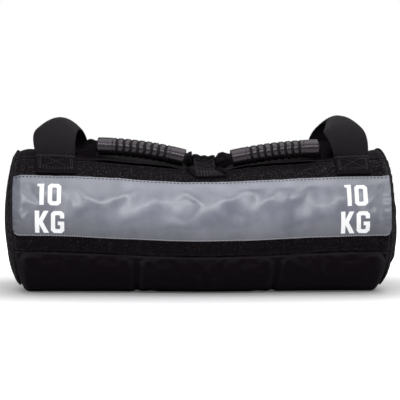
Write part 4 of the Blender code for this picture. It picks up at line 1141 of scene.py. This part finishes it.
def crumple(rings, seed, depth):
    """Small dents and ridges over gathered webbing, none at its first and last rings."""
    pick = np.random.default_rng(seed)
    share = np.linspace(0, 1, len(rings))[:, None]
    dents = 0
    for _ in range(6):
        dents = dents + np.sin(pick.integers(2, 7) * AROUND[None] + pick.normal(0, 9) * share
                               + pick.uniform(0, 6.28))
    off = unit(rings - rings.mean(axis=1, keepdims=True))
    return rings + off * (depth * dents / 2.4 * np.sin(np.pi * share) ** 0.7)[..., None]


def above_bag(rings):
    """Keep rings of points clear of the cloth they lie on."""
    rings[..., 2] = np.maximum(rings[..., 2], top_of(rings[..., 0], rings[..., 1]) + 0.0004)
    return rings


for side in LOOPS:
    way = -1 if side == "left" else 1
    inner_end, outer_end = -CORE_REACH, GRIP_LENGTH + CORE_REACH
    rings = [gathered(*grip_line(side, d), phase=d * 8) for d in np.linspace(inner_end, outer_end, 40)]
    core = loft(f"{side}_handle_core", rings, black_webbing)
    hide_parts(f"{side}_grip_core")
    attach(core, f"{side}_handle")

    # Outer end: the cord spreads into a fan of pleats that runs out into the flat sewn foot
    outer, across, up = grip_line(side, outer_end + JOIN_GAP)
    near_x = outer[0] + way * FLARE_LENGTH
    start = gathered(outer, across, up, phase=(outer_end + JOIN_GAP) * 8)
    web = -np.cos(AROUND)
    vault = np.sqrt(np.maximum(1 - web**2, 0))
    pleat = np.sin(web * 8.5 + 0.8 * way) + 0.6 * np.sin(web * 15 + 2.0)
    rings = []
    for share in np.concatenate([np.linspace(0, 0.05, 8), np.linspace(0.07, 1, 48)]):
        spread = float(ease(0.0, 0.52, share))
        x = outer[0] + way * (FLARE_LENGTH + FOOT_LENGTH) * share
        half_width = CORE_RADIUS * (1 - spread) + FOOT_HALF_WIDTH * spread
        y = outer[1] * (1 - spread) + FOOT_Y * spread
        ring_y = y - across[1] * half_width * np.cos(AROUND)
        ground = top_of(x, ring_y) + CORD_CLEAR
        stuffed_up = float(ease(0.60, 0.20, share))
        drooped = float(ease(0.0, 0.04, share))
        crest = outer[2] + GATHERED_RADIUS + 0.0006 * math.sin(math.pi * min(share / 0.3, 1))
        fading = float(ease(0.0, 0.12, share) * ease(0.85, 0.35, share))
        rounded = vault * (1 - spread) + np.clip(vault * 4, 0, 1) * spread
        full = (crest - ground - WEB) * stuffed_up * (0.35 + 0.65 * vault) ** (0.4 + spread)
        over = ground + (WEB + full) * rounded + 0.0016 * (pleat + 0.6) * fading * rounded
        under = (outer[2] - GATHERED_RADIUS * vault) * (1 - drooped) + ground * drooped
        ring = np.stack([x + way * 0.0014 * np.sin(web * 5 + 1) * fading, ring_y,
                         np.where(np.sin(AROUND) > 0, over, under)], -1)
        blending = float(ease(0, 0.03, share))
        rings.append(start * (1 - blending) + ring * blending)
    rings = np.array(rings)
    rings[1:] = above_bag(rings[1:])
    end = loft(f"{side}_handle_end", rings, shaded_webbing)
    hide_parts(f"{side}_handle_foot", f"{side}_handle_flare")
    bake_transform(end)
    lines = []
    for share in (0.35, 0.92):
        y = FOOT_Y + np.linspace(-0.85, 0.85, 30) * FOOT_HALF_WIDTH
        x = np.full_like(y, near_x + way * FOOT_LENGTH * share)
        places = np.stack([x, y, top_of(x, y) + STRAP_LIFT + WEB / 2], -1)
        lines.append((places, np.tile(UPWARD, (30, 1))))
    row = sew(f"{side}_handle_foot_stitches", lines, FOOT_PITCH, FOOT_THREAD, black_thread)
    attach(row, "bag")

    # Inner end: bare cord, bunched up between the grip and the tab
    meet = cord_middle(TAB_LEFT - JOIN_GAP if side == "left" else TAB_LEFT + TAB_WAIST + JOIN_GAP)
    start, across, up = grip_line(side, inner_end - JOIN_GAP)
    bend = (start + meet) / 2
    bend[2] = top_of(bend[0], bend[1] + CORE_RADIUS) + CORD_CLEAR + BUNCH_HALF_HEIGHT
    flat_side = np.array([0, np.sign(across[1]), 0])
    sections = [gathered(start, across, up, phase=inner_end * 8),
                gathered(bend, across, up, CORE_RADIUS * 1.02, BUNCH_HALF_HEIGHT, 0.10, 0.9),
                gathered(meet, flat_side, UPWARD, CORD_HALF_WIDTH, CORD_HALF_HEIGHT, 0.08, 1.6)]
    rings = above_bag(crumple(through(sections, 14), 7 if side == "left" else 8, 0.0012))
    cord = loft(f"{side}_handle_bunch", rings, black_webbing)
    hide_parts(f"{side}_handle_cord")
    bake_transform(cord)

rings = [gathered(cord_middle(x), np.array([0, -1.0, 0]), UPWARD, CORD_HALF_WIDTH, CORD_HALF_HEIGHT,
                  phase=1.6 + 40 * (x - TAB_LEFT))
         for x in np.linspace(TAB_LEFT, TAB_LEFT + TAB_WAIST, 24)]
under_tab = loft("bunch_under_tab", rings, black_webbing)
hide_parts("handle_centre_cord")
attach(under_tab, "bag")

# Loose pleats of the bunched webbing, which stand out on the shoulder at both sides of the tab
PLEATS = {
    "left_pleat": ((-0.0100, 48.0, 0.0008, 66.0, 0.0050), (-0.0140, 49.5, 0.0010, 64.0, 0.0052),
                   (-0.0170, 52.5, 0.0016, 60.5, 0.0044), (-0.0190, 55.0, 0.0024, 58.0, 0.0030),
                   (-0.0200, 56.2, 0.0024, 56.8, 0.0026)),
    "right_pleat": ((0.0180, 53.0, 0.0010, 67.0, 0.0060), (0.0230, 52.0, 0.0014, 63.0, 0.0056),
                    (0.0275, 50.5, 0.0020, 58.0, 0.0042), (0.0308, 49.6, 0.0022, 54.0, 0.0032),
                    (0.0325, 49.8, 0.0020, 50.8, 0.0022)),
}
shares = np.concatenate([[-1, -0.97], np.linspace(-0.9, 0.9, 9), [0.97, 1]])
t = (shares + 1) / 2
for name, places in PLEATS.items():
    rows = []
    for x, low, low_lift, high, high_lift in places:
        bulge = 0.0012 * np.sin(np.pi * t) - 0.0007 * np.sin(2 * np.pi * t + x * 300)
        rows.append(cover(x + 0.0008 * np.sin(t * 5), low + (high - low) * t,
                          low_lift + (high_lift - low_lift) * t + bulge))
    # The pleats take the webbing painted darker, as shade.
    pleat = strap(name, through(rows, 6), shares, 0.022, shaded_webbing)
    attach(pleat, "bag")


# The tab that straps the handle down at the middle: webbing over the bunched cord, its front
# foot flared to the right, sewn on both shoulders with a boxed cross.
TAB_LOW, TAB_SEWN_TOP = 45.0, 56.0
TAB_LEAVES = {"front": 58.0, "back": 80.0}
TAB_PITCH, TAB_THREAD = 0.0038, 0.0010


def foot_row(a, behind):
    """Row across a foot of the tab at that angle up the shoulder. The foot flares to the right."""
    flare = np.maximum(TAB_SEWN_TOP - a, 0.0) / (TAB_SEWN_TOP - TAB_LOW)
    right = TAB_LEFT + TAB_WAIST + (TAB_FOOT - TAB_WAIST) * flare
    x = TAB_LEFT + (right - TAB_LEFT) * (1 + WEB_SHARES) / 2
    return cover(x, 180 - a if behind else a, STRAP_LIFT)


def crest_row(y, drop):
    """Row across the tab over the cord."""
    x = TAB_LEFT + TAB_WAIST * (1 + WEB_SHARES) / 2
    middles = np.array([cord_middle(p) for p in x])
    wrinkle = 0.0007 * np.sin(WEB_SHARES * 9 + 1)
    return middles + np.stack([0 * x, y + 0 * x, CORD_HALF_HEIGHT + 0.0020 - drop + wrinkle], -1)


shoulder = CORD_HALF_WIDTH + WEB
rows = [foot_row(a, False) for a in np.linspace(TAB_LOW, TAB_LEAVES["front"], 9)]
front_crest = crest_row(-shoulder, CORD_HALF_HEIGHT)
rows += [(2 * rows[-1] + front_crest) / 3, (rows[-1] + 2 * front_crest) / 3, front_crest]
rows += [crest_row(-shoulder / 2, 0.0003), crest_row(0, 0), crest_row(shoulder / 2, 0.0003),
         crest_row(shoulder, CORD_HALF_HEIGHT)]
rows += [foot_row(a, True) for a in np.linspace(TAB_LEAVES["back"], TAB_LOW, 18)]
rows = through(rows, 4)
tab = strap("centre_webbing_tab", rows, WEB_SHARES, TAB_WAIST, shaded_webbing)
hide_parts("centre_tab")
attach(tab, "bag")

faces_out = facing(rows)
faces_out *= np.sign(faces_out[..., 2:].mean())
surface = rows + faces_out * WEB / 2
for part, low, high in (("front", 3, 45), ("back", len(rows) - 4, 66)):
    lines = []
    levels = np.linspace(low, high, 9)
    for i0, u0, i1, u1 in ((low, -1, high, -1), (low, 1, high, 1), *((i, -1, i, 1) for i in levels),
                           *((i, -1, j, 1) for i, j in zip(levels, levels[1:]))):
        share = np.linspace(0, 1, 36)
        i, u = i0 + (i1 - i0) * share, 0.82 * (u0 + (u1 - u0) * share)
        j = np.interp(u, WEB_SHARES, np.arange(len(WEB_SHARES)))
        lines.append((between(surface, i, j), between(faces_out, i, j)))
    row = sew(f"tab_{part}_stitches", lines, TAB_PITCH, TAB_THREAD, webbing_thread)
    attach(row, "bag")


# The two grips: moulded rubber tubes on the gathered webbing, free to turn on it. Between two
# smooth collars run raised ribs whose edges zigzag round the tube.
GRIP_RADIUS = 0.0123
GRIP_BORE = 0.0096
GRIP_PITCH = 0.0095
GRIP_GROOVE = 0.0010
GRIP_GROOVE_HALF = 0.0019
GRIP_GROOVES_END = 0.0355
GRIP_LINE_AT = 0.0394
GRIP_LINE_DEPTH = 0.0006
GRIP_ZIG = 0.0006
GRIP_ZIGS = 6
GRIP_LIP = 0.0012

rubber, tree, shader = new_finish("black_rubber")
where = object_place(tree)
used = wire(tree, "Group", node_tree=wear)
bloom = noise(tree, where, 320.0, 4.0, 0.6)
base = mix(tree, bloom, (0.0030, 0.0022, 0.0029), (0.0062, 0.0050, 0.0060))
greyed = mix(tree, times(tree, used["Rubbed"], 0.35), base, (0.055, 0.053, 0.055))
dress(tree, shader, greyed, graded(tree, bloom, 0.06, 0.22), noise(tree, where, 1300.0),
      0.05, 0.0002, {"Specular IOR Level": 0.62, "Specular Tint": (1.0, 0.90, 1.0, 1)})

# Painted shade: a copy of the rubber with dulled reflection, for the faces in the grooves.
groove_rubber = rubber.copy()
groove_rubber.name = "black_rubber_in_grooves"
tree = groove_rubber.node_tree
shader = tree.nodes["Principled BSDF"]
tree.links.remove(shader.inputs["Roughness"].links[0])
feed(tree, shader, {"Specular IOR Level": 0.15, "Roughness": 0.55})


def hoop(name, rings, finish, sunk=None):
    """Solid piece through rings of points, the last joined on to the first. Faces between sunk
    points look as rubber does in a groove."""
    rings = np.array(rings)
    count, sides = rings.shape[:2]
    index = np.arange(count * sides).reshape(count, sides)
    following, beside = np.roll(index, -1, axis=0), np.roll(index, -1, axis=1)
    faces = np.stack([index, beside, np.roll(following, -1, axis=1), following], -1).reshape(-1, 4)
    piece = solid(name, rings.reshape(-1, 3), faces.tolist(), finish, 60)
    if sunk is not None:
        piece.data.materials.append(groove_rubber)
        deep = np.array(sunk) | np.roll(sunk, -1, axis=0)
        piece.data.polygons.foreach_set("material_index", deep.reshape(-1).astype(np.int32))
    return piece


lip = np.array([0.0, GRIP_LIP * 0.3, GRIP_LIP])
plain = np.linspace(GRIP_LIP, GRIP_LENGTH - GRIP_LIP, 240)[1:-1]
stations_along = [*lip, *plain, *(GRIP_LENGTH - lip[::-1])]
turns = AROUND
saw = np.abs(((turns * GRIP_ZIGS / (2 * math.pi)) % 1) - 0.5) * 4 - 1
for side in LOOPS:
    rings, sunk = [], []
    for d in stations_along:
        from_middle = abs(d - GRIP_LENGTH / 2)
        end = min(d, GRIP_LENGTH - d)
        rounding = -GRIP_LIP * (1 - math.sqrt(1 - (1 - min(end / GRIP_LIP, 1)) ** 2))
        zig = GRIP_ZIG * saw * float(ease(GRIP_LINE_AT, GRIP_GROOVES_END - 0.006, from_middle))
        phase = (d - GRIP_LENGTH / 2 + zig) / GRIP_PITCH
        off = np.abs(phase - np.round(phase + 0.5) + 0.5) * GRIP_PITCH
        cut = ease(GRIP_GROOVE_HALF, GRIP_GROOVE_HALF * 0.75, off) * (from_middle < GRIP_GROOVES_END)
        line = GRIP_LINE_DEPTH * float(hump(from_middle, GRIP_LINE_AT, 0.0005))
        radius = GRIP_RADIUS + rounding - GRIP_GROOVE * cut - line
        centre, across, up = grip_line(side, d)
        rings.append(centre - np.outer(radius * np.cos(turns), across)
                     + np.outer(radius * np.sin(turns), up))
        sunk.append(cut > 0.3)
    for d in np.linspace(GRIP_LENGTH, 0, 12):
        centre, across, up = grip_line(side, d)
        rings.append(centre + GRIP_BORE * (np.outer(np.sin(turns), up) - np.outer(np.cos(turns), across)))
        sunk.append(np.zeros(len(turns), bool))
    grip = hoop(f"{side}_rubber_grip", rings, rubber, sunk)
    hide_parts(f"{side}_grip")
    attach(grip, f"{side}_grip_tube")


# The zip on the back shoulder, through which the sand bags go in: woven tapes under the edges of
# the cloth, a nylon coil, and metal stops, slider and puller. Its ends are closed by patches.
ZIP_HALF = 0.235
ZIP_START = np.array([0, 0.08271, 0.14835])
ZIP_DOWN = np.array([0, 0.5, -0.8660254])
ZIP_OUT = np.array([0, 0.8660254, 0.5])
ALONG_BAG = np.array([1.0, 0, 0])
TAPE_WIDTH = 0.014
TAPE = 0.0006
TAPE_TOP = -0.0018
COIL_LOW = -0.0015
COIL_HALF_WIDTH = 0.0025
COIL_HEIGHT = 0.0020
TOOTH_PITCH = 0.0016
TOOTH_RADIUS = 0.00042
PATCH_FROM, PATCH_TO = 0.2354, 0.2494
PATCH_ANGLE = 6.2
PATCH_SEAT = 0.0003
ZIP_PITCH, PATCH_PITCH, ZIP_THREAD = 0.0034, 0.0030, 0.0006

zip_tape = woven("zip_tape", (0.0035, 0.0028, 0.0036), (0.0090, 0.0082, 0.0092), 0.70,
                 0.0006, 0.0008, 0.5, 0.3)
width, meeting = math.degrees(TAPE_WIDTH / COVER_RADIUS), 0.09
for part, low, high in (("upper", ZIP_ANGLE - width, ZIP_ANGLE - meeting),
                        ("lower", ZIP_ANGLE + meeting, ZIP_ANGLE + width)):
    gx, ga = crossed(np.linspace(-ZIP_HALF, ZIP_HALF, 150), np.linspace(low, high, 8))
    tape = shell(f"{part}_zip_tape", wall(gx, ga, TAPE_TOP), wall(gx, ga, TAPE_TOP - TAPE),
                 flat_places(gx, ga), zip_tape)
    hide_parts(f"zip_tape_{part}")
    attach(tape, "bag")

nylon, tree, shader = new_finish("black_nylon")
specks = noise(tree, object_place(tree), 700.0, 3.0)
dress(tree, shader, mix(tree, specks, (0.006, 0.005, 0.006), (0.016, 0.015, 0.017)),
      graded(tree, specks, 0.2, 0.25), specks, 0.15, 0.0001)


def by_zip(x, across, out):
    return ZIP_START + ALONG_BAG * x + ZIP_DOWN * across + ZIP_OUT * out


points, faces = [], []
bend = np.linspace(0, math.pi, 9)
for i, x in enumerate(np.arange(-ZIP_HALF + 0.0012, ZIP_HALF - 0.0008, TOOTH_PITCH / 2)):
    hand = 1 if i % 2 else -1
    faces += tube_faces(len(points), len(bend), 6)
    for t in bend:
        across = -math.cos(t) * (COIL_HALF_WIDTH - TOOTH_RADIUS) + 0.0003 * hand
        out = COIL_LOW + TOOTH_RADIUS + (COIL_HEIGHT - 2 * TOOTH_RADIUS) * math.sin(t)
        lean = 0.00035 * math.cos(t) * hand
        for turn in np.arange(6) * math.pi / 3:
            r = TOOTH_RADIUS * math.cos(turn)
            points.append(by_zip(x + lean + TOOTH_RADIUS * 0.85 * math.sin(turn),
                                 across - math.cos(t) * r, out + math.sin(t) * r))
first = len(points)
for x in (-ZIP_HALF, ZIP_HALF):
    for t in np.linspace(0, math.pi, 7):
        points.append(by_zip(x, -math.cos(t) * COIL_HALF_WIDTH * 0.72,
                             COIL_LOW + COIL_HEIGHT * 0.66 * math.sin(t)))
faces += tube_faces(first, 2, 7)
teeth = solid("zip_teeth", points, faces, nylon)
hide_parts("zip_coil")
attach(teeth, "bag")

metal, tree, shader = new_finish("blackened_metal")
where = object_place(tree)
used = wire(tree, "Group", node_tree=wear)
tarnish = noise(tree, where, 260.0, 5.0, 0.7)
base = mix(tree, tarnish, (0.018, 0.017, 0.019), (0.042, 0.041, 0.044))
brushed = wire(tree, "Mapping", {"Vector": where, "Scale": (60.0, 1500.0, 1500.0)})[0]
bright = mix(tree, used["Rubbed"], base, (0.11, 0.107, 0.108))
dress(tree, shader, bright, graded(tree, tarnish, 0.25, 0.22), noise(tree, brushed, 1.0),
      0.12, 0.0001, {"Metallic": 1.0})
for node in ("zip_left_stop", "zip_right_stop", "zip_slider", "zip_puller"):
    for place in bpy.data.objects[node].material_slots:
        place.material = metal

for side, way in ENDS:
    gx, ga = crossed(np.linspace(PATCH_FROM, PATCH_TO, 10) * way,
                     np.linspace(ZIP_ANGLE - PATCH_ANGLE, ZIP_ANGLE + PATCH_ANGLE, 16))
    patch = shell(f"{side}_zip_end_patch", cover(gx, ga, CLOTH + PATCH_SEAT), cover(gx, ga, PATCH_SEAT),
                  flat_places(gx, ga), coarse_cloth)
    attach(patch, "bag")
    inset = PATCH_ANGLE - 0.9
    angles = np.linspace(ZIP_ANGLE - inset, ZIP_ANGLE + inset, 20)
    line = seam_line((PATCH_FROM + 0.0030) * way, angles, CLOTH + 0.0001)
    row = sew(f"{side}_patch_stitches", [line], PATCH_PITCH, ZIP_THREAD, black_thread)
    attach(row, "bag")
xs = np.linspace(-0.234, 0.234, 300)
lines = [seam_line(xs, a) for a in (ZIP_ANGLE - 4.3, ZIP_ANGLE + 4.3)]
row = sew("zip_stitches", lines, ZIP_PITCH, ZIP_THREAD, black_thread)
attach(row, "bag")


# Binding tape over the raw edges inside each end seam: woven tape folded flat against the wall.
BINDING_OUTER, BINDING_INNER = 0.2498, 0.2396
BINDING_TOP, BINDING_LOW = -0.0027, -0.0033
around = np.linspace(0, 360, 145)[:-1]
full_turn = np.append(around, 360.0)[None]
stations = np.linspace(BINDING_OUTER, BINDING_INNER, 9)
for side, way in ENDS:
    gx, ga = crossed(stations * way, around)
    threads = flat_places(stations[:, None], full_turn)[..., ::-1]
    ripple = 0.0002 * np.sin(np.radians(ga) * 40) * (1 - ease(0.2400, 0.2440, np.abs(gx)))
    binding = shell(f"{side}_binding_tape", wall(gx, ga, BINDING_TOP + ripple),
                    wall(gx, ga, BINDING_LOW + ripple), threads, zip_tape, closed=True)
    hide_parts(f"{side}_end_binding")
    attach(binding, "bag")


# The foam that gives the bag its shape: a thick grey sleeve, slit under the zip, and a domed disc
# at each end, all cut from open-cell sheet foam.
FOAM_LIFT = -0.0037
FOAM_REACH = 0.2337
FOAM_SWELL = 0.0004
BORE_RADIUS = 0.070
BORE_HEIGHT = 0.095
SLIT_ANGLE = 1.2

foam, tree, shader = new_finish("grey_foam")
where = object_place(tree)
cells = wire(tree, "TexVoronoi", {"Vector": where, "Scale": 900.0})["Distance"]
toned = mix(tree, noise(tree, where, 16.0, 3.0), (0.085, 0.085, 0.088), (0.135, 0.134, 0.132))
pitted = mix(tree, times(tree, cells, 0.6), toned, (0.045, 0.045, 0.047))
dress(tree, shader, pitted, 0.95, cells, 0.7, 0.0006, {"Specular IOR Level": 0.1})


def bore(x, angle, radius):
    """Points round the middle of the foam."""
    x, angle, radius = np.broadcast_arrays(x, angle, radius)
    turn = np.radians(angle)
    return np.stack([x, -np.cos(turn) * radius, BORE_HEIGHT + np.sin(turn) * radius], -1)


angles = np.linspace(ZIP_ANGLE + SLIT_ANGLE, ZIP_ANGLE + 360 - SLIT_ANGLE, 150)
gx, ga = crossed(np.linspace(-FOAM_REACH, FOAM_REACH, 90), angles)
soft = FOAM_SWELL * waves(51, 20, 20, gx, ga)
sleeve = shell("foam_tube", wall(gx, ga % 360, FOAM_LIFT - FOAM_SWELL + np.minimum(soft, FOAM_SWELL)),
               bore(gx, ga, BORE_RADIUS), flat_places(gx, ga), foam)
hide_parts("foam_sleeve")
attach(sleeve, "bag")
for side, way in ENDS:
    centre = np.array([END_SEAM_X * way, 0, COVER_AXIS_HEIGHT - END_DOME_DROP])
    rim = wall(END_SEAM_X * way, around, FOAM_LIFT)
    rings = [np.stack([0 * around + (FOAM_REACH + 0.0004) * way, rim[:, 1], rim[:, 2]], -1)]
    for share in np.concatenate([1 - 0.06 * np.linspace(0, 1, 5) ** 1.5, np.linspace(0.9, 0.02, 22)]):
        ring = centre + (rim - centre) * share
        edge = 0.0030 * float(ease(0.94, 1.0, share))
        ring[:, 0] += (0.0142 * (1 - share**4) - 0.0008 - edge) * way
        rings.append(ring)
    disc = loft(f"{side}_foam_end", rings, foam)
    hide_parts(f"{side}_foam_disc")
    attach(disc, "bag")


# The two sand bags: liner-cloth sacks filled tight with dry sand. Their necks are gathered, face
# each other at the middle of the foam tube, and are tied round with twisted cord.
SACK_RADIUS = 0.0692
SACK_END = 0.2333
SACK_ROUND = 0.016
SACK_SKIN = 0.0010
NECK_RADIUS = 0.0168
NECK_FROM, NECK_TO = 0.0020, 0.0160
SACK_SHOULDER = 0.0320
TIE_X = 0.0090
TIE_THICKNESS = 0.0022
TIE_STRANDS = 3

liner_cloth = woven("liner_cloth", (0.030, 0.030, 0.031), (0.085, 0.084, 0.082), 0.80,
                    0.0005, 0.0012, 0.5, 0.4)
sand, tree, shader = new_finish("dry_sand")
where = object_place(tree)
grains = wire(tree, "TexVoronoi", {"Vector": where, "Scale": 1400.0})["Distance"]
tone = graded(tree, grains, 0.5, times(tree, noise(tree, where, 320.0, 4.0), 0.5))
dress(tree, shader, mix(tree, tone, (0.46, 0.35, 0.22), (0.22, 0.155, 0.09)), 0.9, grains, 0.8, 0.0005)


def sack_profile(inset):
    """Stations and radii of a sack from the mouth of its neck to its closed end."""
    beside_tie = NECK_RADIUS - 0.0004
    profile = [(NECK_FROM, NECK_RADIUS), (TIE_X - TIE_THICKNESS, beside_tie),
               (TIE_X, NECK_RADIUS - 0.0010), (TIE_X + TIE_THICKNESS, beside_tie), (NECK_TO, NECK_RADIUS)]
    profile += [(NECK_TO + (SACK_SHOULDER - NECK_TO) * t,
                 NECK_RADIUS + (SACK_RADIUS - NECK_RADIUS) * math.sin(t * math.pi / 2))
                for t in np.linspace(0, 1, 9)[1:]]
    profile += [(x, SACK_RADIUS) for x in np.linspace(SACK_SHOULDER, SACK_END - SACK_ROUND, 24)[1:]]
    profile += [(SACK_END - SACK_ROUND * (1 - math.sin(t)), SACK_RADIUS - SACK_ROUND * (1 - math.cos(t)))
                for t in np.linspace(0, math.pi / 2, 9)[1:]]
    profile += [(SACK_END, r) for r in np.linspace(SACK_RADIUS - SACK_ROUND, 0.0012, 8)[1:]]
    along, radius = np.array(profile).T
    end = ease(SACK_END - SACK_ROUND, SACK_END, along)
    neck = ease(NECK_TO, SACK_SHOULDER, along)
    thinned = np.maximum(radius - inset * (1 - end * (radius < 0.06)), 0.0008)
    return along - inset * end + inset * (1 - neck) * (along > NECK_TO), thinned


section = np.linspace(0, 2 * math.pi, 25)[:-1]
for side, way in ENDS:
    surfaces = []
    for inset in (0.0, SACK_SKIN):
        along, radius = (measure[:, None] for measure in sack_profile(inset))
        gather = ease(SACK_SHOULDER + 0.02, NECK_TO, along)
        pleats = 0.05 * np.sin(np.radians(around) * 18 + way)[None] * gather
        pleats = pleats * (radius / SACK_RADIUS + 0.2)
        belly = 0.0005 * (waves(61, 12, 12, along, around[None]) - 1.5) * (1 - gather)
        out = radius * (1 - np.abs(pleats)) + belly * (radius > 0.02)
        surfaces.append(bore(along * way, around[None], out))
    threads = np.stack(np.broadcast_arrays(along, np.radians(full_turn) * SACK_RADIUS), -1)
    sack = shell(f"{side}_sand_sack", *surfaces, threads, liner_cloth, closed=True)
    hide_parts(f"{side}_filler_skin")
    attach(sack, "bag")
    rings = surfaces[1][along[:, 0] >= NECK_TO]
    middle = rings.mean(axis=1, keepdims=True)
    rings = middle + (rings - middle) * 0.988
    rings[..., 0] -= 0.0003 * way * ease(0.1, 0.2, np.abs(rings[..., 0]))
    fill = loft(f"{side}_dry_sand", rings, sand)
    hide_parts(f"{side}_sand_fill")
    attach(fill, "bag")
    rings = []
    for turn in np.linspace(0, 2 * math.pi, 241)[:-1]:
        out = np.array([0, -math.cos(turn), math.sin(turn)])
        middle = np.array([TIE_X * way, 0, BORE_HEIGHT]) + out * (NECK_RADIUS + 0.0003 + TIE_THICKNESS)
        strands = TIE_THICKNESS * (0.86 + 0.14 * np.abs(np.cos(TIE_STRANDS / 2 * (section - 14 * turn))))
        rings.append(middle + np.outer(strands * np.cos(section), out)
                     + np.outer(strands * np.sin(section), ALONG_BAG))
    tie = hoop(f"{side}_neck_tie", rings, black_thread)
    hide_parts(f"{side}_filler_tie")
    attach(tie, "bag")
